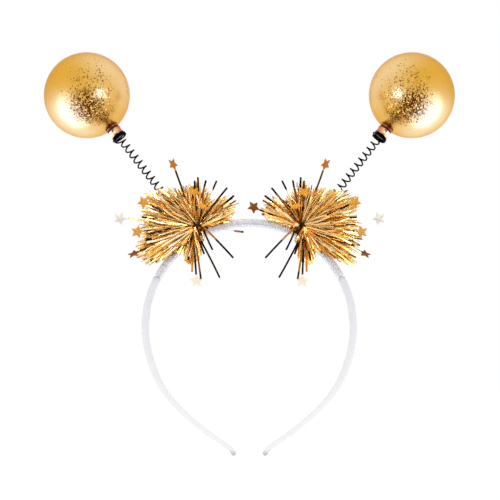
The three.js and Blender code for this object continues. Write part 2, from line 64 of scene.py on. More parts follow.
GOLDEN_ANGLE = math.pi * (3 - math.sqrt(5))
BAND_BODY = "band"

# The tint values of the palest foil, which paints a highlight on a star and its stem, and of the darkest foil
PALE_HIGHLIGHT = 1.0
DARK = 0.01

# The colour sockets of a Mix node, whose names repeat for each type of data
MIX_SHARE, MIX_LOW, MIX_HIGH, MIX_RESULT = 0, 6, 7, 2

# The share of their tilt that the flatter half of the glitter flakes keep
FLAT_FLAKE_TILT = 0.15

# How much of the height of crinkled foil is creases; the rest is fine unevenness
CREASE_SHARE = 0.7

Ring = np.ndarray
Face = Sequence[int]
Colour = tuple[float, float, float]
Stops = tuple[tuple[float, Colour], ...]


class Side(Enum):
    """The two sides of the headband, as seen in the photograph."""

    LEFT = -1
    RIGHT = 1

    @property
    def label(self) -> str:
        """The word that the side has in the names of pieces."""
        return self.name.lower()

    @property
    def bopper(self) -> str:
        """The body that the side's ball and cap ride on."""
        return f"bopper_{self.label}"

    def flip(self, points: np.ndarray) -> np.ndarray:
        """Points worked out for +X, moved to this side."""
        return np.asarray(points, float) * (self.value, 1, 1)

    def has(self, sides: str) -> bool:
        """Whether a row of a table that is meant for left, right or both is meant for this side."""
        return sides in ("both", self.label)


def unit(vector: np.ndarray) -> np.ndarray:
    """The direction of a vector."""
    return vector / np.linalg.norm(vector)


def opaque(colour: Colour) -> tuple[float, float, float, float]:
    """A colour with full alpha."""
    return *colour, 1.0


class MeshParts:
    """Gathers rings, tubes and plates into one mesh, with a tone for each part of it."""

    def __init__(self) -> None:
        """Starts with nothing in it."""
        self.points: list[np.ndarray] = []
        self.faces: list[tuple[int, ...]] = []
        self.tones: list[float] = []
        self.count = 0

    def add(self, points: np.ndarray, faces: Sequence[Face], tone: float | np.ndarray = 0.5) -> None:
        """Adds one part.

        Args:
            points: its corners in millimetres.
            faces: its faces, counted from its own first corner.
            tone: the value between 0 and 1 that it is tinted by, or one for each face.
        """
        start = self.count
        self.points.append(np.asarray(points, float))
        self.count += len(points)
        new = [tuple(start + i for i in face) for face in faces]
        self.faces += new
        self.tones += list(np.broadcast_to(tone, len(new)))

    def skin(self, rings: Sequence[Ring], loop: bool = False, tone: float | np.ndarray = 0.5) -> None:
        """Adds a closed skin over rings of equal size.

        Args:
            rings: the rings in order, each an array of corners.
            loop: whether the last ring joins the first; otherwise both ends are capped.
            tone: the tint value of the part, or one for each face.
        """
        size = len(rings[0])
        faces: list[tuple[int, ...]] = []
        for r in range(len(rings) if loop else len(rings) - 1):
            here, there = r * size, (r + 1) % len(rings) * size
            for i in range(size):
                j = (i + 1) % size
                faces.append((here + i, here + j, there + j, there + i))
        if not loop:
            last = (len(rings) - 1) * size
            faces += [tuple(range(size))[::-1], tuple(range(last, last + size))]
        self.add(np.concatenate(rings), faces, tone)

    def build(self, name: str, material: bpy.types.Material, smooth: bool = True) -> bpy.types.Object:
        """Makes the mesh object.

        Args:
            name: the piece's name.
            material: its material.
            smooth: whether its faces are shaded smooth.

        Returns:
            The object, in the frame of the CAD model.
        """
        mesh = bpy.data.meshes.new(name)
        mesh.from_pydata(np.concatenate(self.points) * MM, [], self.faces)
        mesh.materials.append(material)
        mesh.polygons.foreach_set("use_smooth", [smooth] * len(self.faces))
        tone = mesh.attributes.new("tone", "FLOAT", "FACE")
        tone.data.foreach_set("value", self.tones)
        mesh.update()
        outward(mesh)
        piece = bpy.data.objects.new(name, mesh)
        bpy.context.scene.collection.objects.link(piece)
        return piece


def outward(mesh: bpy.types.Mesh) -> None:
    """Turns the faces of a closed mesh outwards, each loose part by itself."""
    work = bmesh.new()
    work.from_mesh(mesh)
    bmesh.ops.recalc_face_normals(work, faces=work.faces)
    work.to_mesh(mesh)
    work.free()


def turned(profile: Sequence[tuple[float, float]], segments: int) -> tuple[np.ndarray, list[tuple[int, ...]]]:
    """Turns a profile about the Z axis.

    Args:
        profile: radius and height pairs; a radius of 0 becomes a single corner.
        segments: how many steps there are to the turn.

    Returns:
        The corners and the faces.
    """
    turns = np.arange(segments) * 2 * math.pi / segments
    around = np.stack([np.cos(turns), np.sin(turns), np.zeros(segments)], 1)
    points: list[np.ndarray] = []
    rows: list[list[int]] = []
    count = 0
    for radius, height in profile:
        ring = around * radius + UP * height if radius > 0 else (UP * height)[None]
        rows.append([count + (i if radius > 0 else 0) for i in range(segments)])
        points.append(ring)
        count += len(ring)
    faces = []
    for low, high in zip(rows, rows[1:]):
        for i in range(segments):
            j = (i + 1) % segments
            face = dict.fromkeys((low[i], low[j], high[j], high[i]))
            if len(face) > 2:
                faces.append(tuple(face))
    return np.concatenate(points), faces


class Board:
    """A node tree with short calls for adding and joining nodes."""

    def __init__(self, tree: bpy.types.NodeTree) -> None:
        """Starts on an emptied tree."""
        self.tree = tree
        tree.nodes.clear()

    def add(self, kind: str, inputs: dict[str | int, object] | None = None,
            **settings: object) -> bpy.types.Node:
        """Adds a node.

        Args:
            kind: the node's type without its ShaderNode prefix, or in full for a group's ends.
            inputs: values or sockets for its inputs, by name or number.
            settings: its properties.

        Returns:
            The node.
        """
        node = self.tree.nodes.new(kind if kind.startswith("Node") else f"ShaderNode{kind}")
        for name, value in settings.items():
            setattr(node, name, value)
        for key, value in (inputs or {}).items():
            if isinstance(value, bpy.types.NodeSocket):
                self.tree.links.new(value, node.inputs[key])
            else:
                node.inputs[key].default_value = value
        return node

    def math(self, operation: str, *values: object, clamp: bool = False) -> bpy.types.NodeSocket:
        """The output of a Math node with these inputs in order."""
        return self.add("Math", dict(enumerate(values)), operation=operation, use_clamp=clamp).outputs[0]

    def scaled(self, value: object, factor: float, offset: object = 0.0) -> bpy.types.NodeSocket:
        """A value times a factor, plus an offset."""
        return self.math("MULTIPLY_ADD", value, factor, offset)

    def around(self, value: object, depth: float) -> bpy.types.NodeSocket:
        """A value from 0 to 1 made to swing about nothing, by half the depth each way."""
        return self.scaled(value, depth, -depth / 2)

    def span(self, value: object, start: float, end: float, most: float = 1.0,
             **settings: object) -> bpy.types.NodeSocket:
        """How far a value has come from a start to an end, from 0 to the most."""
        inputs = {"Value": value, "From Min": start, "From Max": end, "To Max": most}
        return self.add("MapRange", inputs, **settings).outputs[0]

    def clouds(self, place: object, scale: object, detail: float) -> bpy.types.NodeSocket:
        """The value of a noise texture."""
        return self.add("TexNoise", {"Vector": place, "Scale": scale, "Detail": detail}).outputs["Fac"]

    def bump(self, height: object, strength: float, distance: float) -> bpy.types.NodeSocket:
        """The normal of a surface with this relief."""
        return self.add("Bump", {"Height": height, "Strength": strength, "Distance": distance}).outputs[0]

    def face_value(self, name: str = "tone") -> bpy.types.NodeSocket:
        """A value that the mesh holds for each face."""
        return self.add("Attribute", attribute_name=name).outputs["Fac"]

    def group(self, tree: bpy.types.NodeTree, **inputs: object) -> bpy.types.Node:
        """Places a node group, with values or sockets for its inputs."""
        return self.add("Group", inputs, node_tree=tree)

    def mix(self, share: object, *ends: bpy.types.NodeSocket | Colour) -> bpy.types.NodeSocket:
        """A colour between two ends, each a socket or a colour."""
        low, high = (end if isinstance(end, bpy.types.NodeSocket) else opaque(end) for end in ends)
        node = self.add("Mix", {MIX_SHARE: share, MIX_LOW: low, MIX_HIGH: high}, data_type="RGBA")
        return node.outputs[MIX_RESULT]

    def ramp(self, value: bpy.types.NodeSocket, stops: Stops) -> bpy.types.NodeSocket:
        """A colour read from a value.

        Args:
            value: the socket that drives it.
            stops: place and colour pairs in order.

        Returns:
            The colour socket.
        """
        node = self.add("ValToRGB", {0: value})
        elements = node.color_ramp.elements
        for element, (place, colour) in zip((elements[0], elements[1]), (stops[0], stops[-1])):
            element.position, element.color = place, opaque(colour)
        for place, colour in stops[1:-1]:
            elements.new(place).color = opaque(colour)
        return node.outputs[0]


@dataclass(frozen=True)
class Port:
    """A named input or output of a shader node group."""

    name: str
    kind: str = "NodeSocketFloat"
    value: float | None = None


def node_group(name: str, inputs: Sequence[Port], outputs: Sequence[Port],
               wire: Callable[[Board, bpy.types.Node, bpy.types.Node], None]) -> bpy.types.NodeTree:
    """Builds a shader node group once.

    Args:
        name: the group's name.
        inputs: its named inputs.
        outputs: its named outputs.
        wire: what joins its insides, given the board and its two ends.

    Returns:
        The group.
    """
    if name in bpy.data.node_groups:
        return bpy.data.node_groups[name]
    tree = bpy.data.node_groups.new(name, "ShaderNodeTree")
    for ports, way in ((inputs, "INPUT"), (outputs, "OUTPUT")):
        for port in ports:
            socket = tree.interface.new_socket(port.name, in_out=way, socket_type=port.kind)
            if port.value is not None:
                socket.default_value = port.value
    board = Board(tree)
    wire(board, board.add("NodeGroupInput"), board.add("NodeGroupOutput"))
    return tree


def glitter_flakes() -> bpy.types.NodeTree:
    """Small flat flakes that each face their own way: a normal and a tone."""
    def wire(board: Board, start: bpy.types.Node, end: bpy.types.Node) -> None:
        """Joins the flakes' nodes."""
        flakes = board.add("TexVoronoi", {
            "Vector": start.outputs["Vector"], "Scale": start.outputs["Flakes"]})
        chance = board.add("SeparateColor", {0: flakes.outputs["Color"]})
        steep = board.math("GREATER_THAN", chance.outputs["Blue"], 0.5)
        share = board.scaled(steep, 1 - FLAT_FLAKE_TILT, FLAT_FLAKE_TILT)
        loose = board.add("VectorMath", {0: flakes.outputs["Color"], 1: (0.5, 0.5, 0.5)},
                          operation="SUBTRACT")
        tilt = board.math("MULTIPLY", share, start.outputs["Tilt"])
        lean = board.add("VectorMath", {0: loose.outputs[0], "Scale": tilt}, operation="SCALE")
        facing = board.add("VectorMath", {0: board.add("NewGeometry").outputs["Normal"], 1: lean.outputs[0]},
                           operation="ADD")
        normal = board.add("VectorMath", {0: facing.outputs[0]}, operation="NORMALIZE")
        board.tree.links.new(normal.outputs[0], end.inputs["Normal"])
        board.tree.links.new(chance.outputs["Green"], end.inputs["Tone"])
    inputs = [Port("Vector", "NodeSocketVector"), Port("Flakes", value=900.0), Port("Tilt", value=0.5)]
    outputs = [Port("Normal", "NodeSocketVector"), Port("Tone")]
    return node_group("glitter_flakes", inputs, outputs, wire)


def foil_crinkle() -> bpy.types.NodeTree:
    """Creases and streaks of thin foil: a height and a streak value."""
    def wire(board: Board, start: bpy.types.Node, end: bpy.types.Node) -> None:
        """Joins the crinkle's nodes."""
        place = start.outputs["Vector"]
        creases = board.add("TexVoronoi", {"Vector": place, "Scale": start.outputs["Creases"]},
                            feature="DISTANCE_TO_EDGE")
        fine = board.clouds(place, start.outputs["Fine"], 3.0)
        height = board.scaled(creases.outputs["Distance"], CREASE_SHARE, board.scaled(fine, 1 - CREASE_SHARE))
        board.tree.links.new(height, end.inputs["Height"])
        board.tree.links.new(fine, end.inputs["Streak"])
    inputs = [Port("Vector", "NodeSocketVector"), Port("Creases", value=500.0), Port("Fine", value=1500.0)]
    return node_group("foil_crinkle", inputs, [Port("Height"), Port("Streak")], wire)


class Finish:
    """A procedural material made from a board of nodes round one Principled BSDF."""

    name = "finish"

    def material(self) -> bpy.types.Material:
        """The material, made once."""
        made = bpy.data.materials.get(self.name)
        if made:
            return made
        made = bpy.data.materials.new(self.name)
        made.use_nodes = True
        board = Board(made.node_tree)
        surface = board.add("BsdfPrincipled")
        board.add("OutputMaterial", {"Surface": surface.outputs[0]})
        self.dress(board, surface)
        return made

    def dress(self, board: Board, surface: bpy.types.Node) -> None:
        """Joins this finish's nodes to the Principled BSDF."""
        raise NotImplementedError

    @staticmethod
    def place(board: Board) -> bpy.types.NodeSocket:
        """Where a point is on the object, in metres."""
        return board.add("TexCoord").outputs["Object"]

    @staticmethod
    def feed(board: Board, surface: bpy.types.Node, **inputs: object) -> None:
        """Sets or links the shader's inputs, with underscores for spaces in their names."""
        for key, value in inputs.items():
            name = key.replace("_", " ")
            if isinstance(value, bpy.types.NodeSocket):
                board.tree.links.new(value, surface.inputs[name])
            else:
                surface.inputs[name].default_value = value


@dataclass(frozen=True)
class BallGold(Finish):
    """Clouded satin gold lacquer with patches of glitter whose flakes each face their own way; its face tone
    paints paler gold where highlights fall, a painted highlight, and its brown flakes are partly painted dark
    reflection.
    """

    name: str = "satin_gold_lacquer"
    pale: Colour = (0.97, 0.74, 0.42)
    deep: Colour = (0.76, 0.4, 0.035)
    brown: Colour = (0.2, 0.07, 0.012)
    edge: Colour = (0.8, 0.6, 0.4)
    flakes: float = 1550.0
    bare_tilt: float = 0.12
    tilt: float = 1.25
    cloud_scale: float = 45.0
    cloud_depth: float = 0.3
    fleck_depth: float = 0.14
    brown_share: float = 0.13
    roughness: float = 0.22
    fleck_roughness: float = 0.1
    glitter_polish: float = 0.12
    coat: float = 0.25
    coat_roughness: float = 0.3

    def dress(self, board: Board, surface: bpy.types.Node) -> None:
        """Joins the flakes and the lacquer's slow clouding."""
        place, dense = self.place(board), board.face_value("glitter")
        glitter = board.group(glitter_flakes(), Vector=place, Flakes=self.flakes,
                              Tilt=board.scaled(dense, self.tilt, self.bare_tilt))
        fleck = glitter.outputs["Tone"]
        swing = board.math("ADD", board.around(fleck, self.fleck_depth),
                           board.around(board.clouds(place, self.cloud_scale, 2.0), self.cloud_depth))
        # The face tone paints paler gold where highlights fall: painted highlight.
        gold = board.mix(board.math("ADD", board.face_value(), swing, clamp=True), self.deep, self.pale)
        # Brown flakes where the glitter is dense: partly dark glitter, partly painted dark reflection.
        dark = board.math("GREATER_THAN", fleck, board.scaled(dense, -self.brown_share, 1.0))
        bare = board.scaled(fleck, self.fleck_roughness, self.roughness)
        self.feed(board, surface, Base_Color=board.mix(dark, gold, self.brown), Metallic=1.0,
                  Roughness=board.scaled(dense, -self.glitter_polish, bare), Normal=glitter.outputs["Normal"],
                  Specular_Tint=opaque(self.edge), Coat_Weight=self.coat, Coat_Roughness=self.coat_roughness)


@dataclass(frozen=True)
class CapMetal(Finish):
    """Thin gold-plated sheet, smudged, and darkened to copper and black where its face tone is low: painted
    shade and highlight set by the side it faces, painted shadow in a groove and painted shade on the stub.
    """

    name: str = "polished_gold_cap"
    smudge_scale: float = 380.0
    smudge_depth: float = 0.8
    least_tone: float = 0.6
    dents: float = 0.12
    dent_height: float = 0.0003
    roughness: float = 0.06
    smudge_roughness: float = 0.16
    stops: Stops = (
        (0.0, (0.01, 0.006, 0.005)),
        (0.25, (0.12, 0.03, 0.02)),
        (0.5, (0.6, 0.22, 0.08)),
        (0.75, (0.95, 0.58, 0.3)),
        (1.0, (0.95, 0.78, 0.5)),
    )

    def dress(self, board: Board, surface: bpy.types.Node) -> None:
        """Joins the smudges and the face tone's painted shade and highlight."""
        smudge = board.clouds(self.place(board), self.smudge_scale, 3.0)
        # The face tone, times the smudges, paints shade and highlight onto the sheet.
        smudge_and_painted_shade = board.math("MULTIPLY", board.scaled(smudge, self.smudge_depth, self.least_tone),
                          board.face_value(), clamp=True)
        self.feed(board, surface, Base_Color=board.ramp(smudge_and_painted_shade, self.stops), Metallic=1.0,
                  Roughness=board.scaled(smudge, self.smudge_roughness, self.roughness),
                  Normal=board.bump(smudge, self.dents, self.dent_height))


@dataclass(frozen=True)
class SpringWire(Finish):
    """Black spring wire with a satin skin, rubbed a little brighter in places."""

    name: str = "black_spring_wire"
    dark: Colour = (0.0015, 0.0015, 0.002)
    rubbed: Colour = (0.01, 0.01, 0.014)
    wear_scale: float = 900.0
    rubbed_from: float = 0.55
    rubbed_contrast: float = 4.0
    sheen: float = 0.03
    roughness: float = 0.35
    wear_roughness: float = 0.3

    def dress(self, board: Board, surface: bpy.types.Node) -> None:
        """Joins the rubbed places."""
        wear = board.clouds(self.place(board), self.wear_scale, 4.0)
        above = board.math("SUBTRACT", wear, self.rubbed_from, clamp=True)
        rubbed = board.math("MULTIPLY", above, self.rubbed_contrast, clamp=True)
        self.feed(board, surface, Base_Color=board.mix(rubbed, self.dark, self.rubbed),
                  Specular_IOR_Level=self.sheen,
                  Roughness=board.scaled(wear, self.wear_roughness, self.roughness))


@dataclass(frozen=True)
class TinselFoil(Finish):
    """Metallised foil: each strip takes its tint from its own tone, and is crinkled along its length."""

    name: str = "gold_tinsel_foil"
    metal: float = 0.9
    edge: Colour = (1.0, 0.75, 0.45)
    sheen: float = 0.1
    creases: float = 300.0
    fine: float = 700.0
    streak_depth: float = 0.25
    crinkle: float = 0.22
    crinkle_height: float = 0.0004
    roughness: float = 0.12
    streak_roughness: float = 0.25
    stops: Stops = (
        (0.0, (0.008, 0.005, 0.003)),
        (0.08, (0.06, 0.025, 0.008)),
        (0.25, (0.55, 0.22, 0.03)),
        (0.45, (0.9, 0.53, 0.13)),
        (0.75, (1.0, 0.75, 0.32)),
        (1.0, (1.0, 0.92, 0.66)),
    )

    def dress(self, board: Board, surface: bpy.types.Node) -> None:
        """Joins the strips' tones and the foil's creases."""
        crinkle = board.group(foil_crinkle(), Vector=self.place(board), Creases=self.creases, Fine=self.fine)
        streak = crinkle.outputs["Streak"]
        tint = board.math("ADD", board.face_value(), board.around(streak, self.streak_depth), clamp=True)
        self.feed(board, surface, Base_Color=board.ramp(tint, self.stops), Metallic=self.metal,
                  Specular_IOR_Level=self.sheen, Specular_Tint=opaque(self.edge),
                  Roughness=board.scaled(streak, self.streak_roughness, self.roughness),
                  Normal=board.bump(crinkle.outputs["Height"], self.crinkle, self.crinkle_height))


@dataclass(frozen=True)
class StarFoil(TinselFoil):
    """Stamped foil stars, less metallic and warmer than the strips."""

    name: str = "stamped_star_foil"
    metal: float = 0.3
    stops: Stops = (
        (0.0, (0.04, 0.01, 0.003)),
        (0.3, (0.55, 0.17, 0.015)),
        (0.6, (0.92, 0.42, 0.04)),
        (0.85, (1.0, 0.68, 0.28)),
        (1.0, (1.0, 0.96, 0.88)),
    )


@dataclass(frozen=True)
class GlitterCloth(Finish):
    """Silver-white glitter glued on cloth: grains that each take a pale tint from their own tone."""

    name: str = "silver_glitter_cloth"
    metal: float = 0.45
    flakes: float = 1700.0
    tilt: float = 0.9
    fleck_share: float = 0.3
    roughness: float = 0.2
    fleck_roughness: float = 0.3
    stops: Stops = (
        (0.0, (0.02, 0.08, 0.13)),
        (0.08, (0.25, 0.43, 0.56)),
        (0.18, (0.58, 0.54, 0.82)),
        (0.4, (0.78, 0.82, 0.95)),
        (0.8, (0.97, 0.97, 1.0)),
    )

    def dress(self, board: Board, surface: bpy.types.Node) -> None:
        """Joins the grains' tints and their own facing."""
        glitter = board.group(glitter_flakes(), Vector=self.place(board), Flakes=self.flakes, Tilt=self.tilt)
        fleck = glitter.outputs["Tone"]
        tint = board.scaled(fleck, self.fleck_share, board.scaled(board.face_value(), 1 - self.fleck_share))
        self.feed(board, surface, Base_Color=board.ramp(tint, self.stops), Metallic=self.metal,
                  Roughness=board.scaled(fleck, self.fleck_roughness, self.roughness),
                  Normal=glitter.outputs["Normal"])


@dataclass(frozen=True)
class BandCloth(Finish):
    """White woven cloth glued over the band: a fine weave, faint wrinkles with painted shade in their
    hollows, arms painted paler towards the bottom as painted light, and greyer ends.
    """

    name: str = "white_band_cloth"
    # The cloth goes towards the darker colour in the wrinkles' hollows: painted shade.
    light: Colour = (0.88, 0.88, 0.92)
    shade: Colour = (0.72, 0.72, 0.79)
    # Lower down the band the cloth turns to this paler colour: painted light.
    faded: Colour = (0.96, 0.96, 0.96)
    fade_from: float = -0.03
    fade_to: float = -0.11
    fade_share: float = 0.85
    end: Colour = (0.55, 0.55, 0.56)
    end_height: float = -0.1365
    end_fade: float = 0.003
    threads: float = 620.0
    thread_waver: float = 0.4
    thread_height: float = 0.2
    wrinkles: float = 170.0
    relief: float = 0.35
    relief_height: float = 0.0005
    roughness: float = 0.5
    wrinkle_roughness: float = 0.2

    def dress(self, board: Board, surface: bpy.types.Node) -> None:
        """Joins the weave, the wrinkles and their painted shade, the painted light that pales the arms lower
        down, and the greyer ends.
        """
        place = self.place(board)
        waves = {"Vector": place, "Scale": self.threads, "Distortion": self.thread_waver}
        out, back, up = (board.add("TexWave", waves, bands_direction=way).outputs["Fac"] for way in "XYZ")
        weave = board.math("ADD", board.math("MAXIMUM", out, up), back)
        wrinkle = board.clouds(place, self.wrinkles, 4.0)
        height = board.add("SeparateXYZ", {0: place}).outputs["Z"]
        # Paler lower down the band: painted light.
        paler = board.span(height, self.fade_from, self.fade_to, self.fade_share)
        # Greyer in the wrinkles' hollows: painted shade.
        colour = board.mix(paler, board.mix(wrinkle, self.shade, self.light), self.faded)
        low = board.span(height, self.end_height + self.end_fade, self.end_height)
        self.feed(board, surface, Base_Color=board.mix(low, colour, self.end),
                  Roughness=board.scaled(wrinkle, self.wrinkle_roughness, self.roughness),
                  Normal=board.bump(board.scaled(weave, self.thread_height, wrinkle), self.relief,
                                    self.relief_height))


@dataclass
class BandPath:
    """The band's centreline and section: a round upper half, then a curve down to two flared ends."""

    radius: float = 62.4
    drop: float = 77.2
    thickness: float = 4.5
    width: float = 10.0
    end_thickness: float = 3.2
    end_width: float = 6.5
    squareness: float = 0.7
    widest: float = 90.0
    lead: float = 10.0
    # Shares of the radius out and of the drop down
    lower: tuple[tuple[float, float], ...] = (
        (0.984, 0.15), (0.938, 0.29), (0.874, 0.42), (0.78, 0.54), (0.641, 0.662),
        (0.462, 0.787), (0.285, 0.89), (0.205, 0.935), (0.163, 0.965), (0.143, 1.0),
    )

    @property
    def centre(self) -> np.ndarray:
        """The middle of the round half."""
        return UP * (self.thickness / 2 - self.radius)

    def arc(self, angle: float, radius: float | None = None) -> tuple[np.ndarray, np.ndarray]:
        """A place on the round half.

        Args:
            angle: from the crown towards +X.
            radius: from the middle of the round half, the centreline's own where none is given.

        Returns:
            The point and the direction away from the middle.
        """
        turn = math.radians(angle)
        normal = np.array((math.sin(turn), 0.0, math.cos(turn)))
        return self.centre + normal * (radius or self.radius), normal

    def lower_line(self, samples: int = 40) -> np.ndarray:
        """Points along the smooth curve below the widest place, closely spaced."""
        knots = [self.arc(self.widest - self.lead)[0], self.arc(self.widest)[0]]
        knots += [self.centre + (out * self.radius, 0, -down * self.drop) for out, down in self.lower]
        row = [2 * knots[0] - knots[1], *knots, 2 * knots[-1] - knots[-2]]
        line = []
        for p0, p1, p2, p3 in zip(row, row[1:], row[2:], row[3:]):
            d0, d1, d2 = (math.sqrt(np.linalg.norm(b - a)) for a, b in ((p0, p1), (p1, p2), (p2, p3)))
            slope_in = d1 * ((p1 - p0) / d0 - (p2 - p0) / (d0 + d1) + (p2 - p1) / d1)
            slope_out = d1 * ((p2 - p1) / d1 - (p3 - p1) / (d1 + d2) + (p3 - p2) / d2)
            for t in np.arange(samples) / samples:
                line.append((2 * t**3 - 3 * t**2 + 1) * p1 + (t**3 - 2 * t**2 + t) * slope_in
                            + (3 * t**2 - 2 * t**3) * p2 + (t**3 - t**2) * slope_out)
        return np.array([*line, knots[-1]])

    def ring(self, point: np.ndarray, normal: np.ndarray, size: tuple[float, float],
             sides: int = 28) -> Ring:
        """A rounded oblong ring across the band.

        Args:
            point: its middle.
            normal: the direction through the band.
            size: thickness and width.
            sides: how many corners it has.

        Returns:
            The ring.
        """
        turn = 2 * math.pi * (np.arange(sides) + 0.5) / sides
        across, through = (np.sign(v) * np.abs(v) ** self.squareness for v in (np.cos(turn), np.sin(turn)))
        return point + np.outer(through * size[0] / 2, normal) + np.outer(across * size[1] / 2, FRONT)


@dataclass
class Headband:
    """The cloth-covered band."""

    path: BandPath
    wrap_angle: float = 61.0
    wrap_offset: float = 1.3
    gap: float = 0.3
    shoulder: float = 0.8
    wrinkle: float = 0.09
    wrinkle_scale: float = 0.22
    tip_turn: float = 88.0
    look_ahead: float = 0.6
    wrapped_steps: int = 34
    bare_steps: int = 14
    lower_steps: int = 90
    tip_steps: int = 8
    cloth: BandCloth = field(default_factory=BandCloth)

    def stations(self) -> list[tuple[np.ndarray, np.ndarray, tuple[float, float]]]:
        """Places from the crown to the end at +X, each with its direction and size."""
        path = self.path
        thin = (path.thickness - 2 * self.wrap_offset, path.width - 2 * self.wrap_offset)
        full = (path.thickness, path.width)
        per_mm = 180 / (math.pi * path.radius)
        wrapped = np.linspace(0, self.wrap_angle + self.gap * per_mm, self.wrapped_steps)
        bare = np.linspace(self.wrap_angle + (self.gap + self.shoulder) * per_mm, path.widest - path.lead,
                           self.bare_steps)
        rows = [(*path.arc(angle), thin) for angle in wrapped] + [(*path.arc(angle), full) for angle in bare]
        line = path.lower_line()
        steps = np.linalg.norm(np.diff(line, axis=0), axis=1)
        along = np.concatenate([[0], np.cumsum(steps)])
        start, tip = path.radius * math.radians(path.lead), path.end_thickness / 2
        straight = along[-1] - tip
        turns = np.radians(np.linspace(0, self.tip_turn, self.tip_steps))[1:]
        stops = [(place, 0.0) for place in np.linspace(0, straight, self.lower_steps)[1:]]
        stops += [(straight + tip * math.sin(turn), turn) for turn in turns]
        for place, turn in stops:
            point, behind, ahead = (
                np.array([np.interp(place + step, along, line[:, axis]) for axis in range(3)])
                for step in (0, -self.look_ahead, self.look_ahead))
            tangent = unit(ahead - behind)
            share = min(max((place - start) / (straight - start), 0), 1)
            lost = path.end_thickness * (1 - math.cos(turn))
            size = (path.thickness + share * (path.end_thickness - path.thickness) - lost,
                    path.width + share * (path.end_width - path.width) - lost)
            rows.append((point, np.array((-tangent[2], 0, tangent[0])), size))
        return rows

    def wrinkled(self, ring: Ring, middle: np.ndarray) -> Ring:
        """The ring with the cloth's faint cross wrinkles."""
        return np.array([
            corner + unit(corner - middle) * self.wrinkle * noise.noise(Vector(corner * self.wrinkle_scale))
            for corner in ring])

    def build(self) -> bpy.types.Object:
        """Makes the band and has it ride.

        Returns:
            The piece.
        """
        half = self.stations()
        mirror = np.array((-1.0, 1.0, 1.0))
        rows = [(point * mirror, normal * mirror, size) for point, normal, size in half[:0:-1]] + half
        parts = MeshParts()
        parts.skin([self.wrinkled(self.path.ring(*row), row[0]) for row in rows])
        piece = parts.build("cloth_band", self.cloth.material())
        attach(piece, BAND_BODY)
        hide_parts("headband")
        return piece


@dataclass
class GlitterWrap:
    """The hollow glitter sleeve over the crown, with loose grains standing on it."""

    path: BandPath
    angle: float = 61.0
    wall: float = 1.0
    gap: float = 0.3
    steps: int = 190
    grains: int = 9000
    grain: float = 0.42
    grain_sizes: tuple[float, float] = (0.6, 1.15)
    grain_lean: float = 0.45
    grain_height: float = 0.14
    cloth_tone: float = 0.75
    seed: int = 11
    cloth: GlitterCloth = field(default_factory=GlitterCloth)

    def build(self) -> bpy.types.Object:
        """Makes the sleeve with its grains and has it ride.

        Returns:
            The piece.
        """
        path = self.path
        outer_size = (path.thickness, path.width)
        inner_size = (path.thickness - 2 * self.wall, path.width - 2 * self.wall)
        places = [path.arc(angle) for angle in np.linspace(-self.angle, self.angle, self.steps)]
        outer = [path.ring(*place, outer_size, 36) for place in places]
        inner = [path.ring(*place, inner_size, 36) for place in places]
        parts = MeshParts()
        parts.skin([*outer, *inner[::-1]], loop=True, tone=self.cloth_tone)
        draw = np.random.default_rng(self.seed)
        for _ in range(self.grains):
            self.add_grain(parts, outer, places, draw)
        piece = parts.build("glitter_sleeve", self.cloth.material(), smooth=False)
        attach(piece, BAND_BODY)
        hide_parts("glitter_wrap")
        return piece

    def add_grain(self, parts: MeshParts, outer: list[Ring], places: list[tuple[np.ndarray, np.ndarray]],
                  draw: np.random.Generator) -> None:
        """Adds one grain: a small three-sided flake that leans its own way.

        Args:
            parts: the mesh that it goes into.
            outer: the sleeve's outer rings.
            places: the middles of those rings.
            draw: the seeded source of chance.
        """
        along, side = draw.uniform(0, len(outer) - 1), draw.integers(0, len(outer[0]))
        low, share = int(along), along % 1
        ring = outer[low] * (1 - share) + outer[min(low + 1, len(outer) - 1)] * share
        corner = ring[side] + (ring[(side + 1) % len(ring)] - ring[side]) * draw.uniform()
        out = unit(corner - places[low][0])
        lean = unit(out + draw.normal(0, self.grain_lean, 3))
        level = unit(np.cross(lean, draw.normal(0, 1, 3)))
        across = np.cross(lean, level)
        size = self.grain * draw.uniform(*self.grain_sizes)
        turns = np.arange(3) * 2 * math.pi / 3
        base = corner + size / 2 * (np.outer(np.cos(turns), level) + np.outer(np.sin(turns), across))
        peak = corner + lean * self.grain_height
        tone = draw.uniform(0, 1)
        parts.add(np.vstack([base, peak]), [(0, 1, 2), (0, 1, 3), (1, 2, 3), (2, 0, 3)], tone)


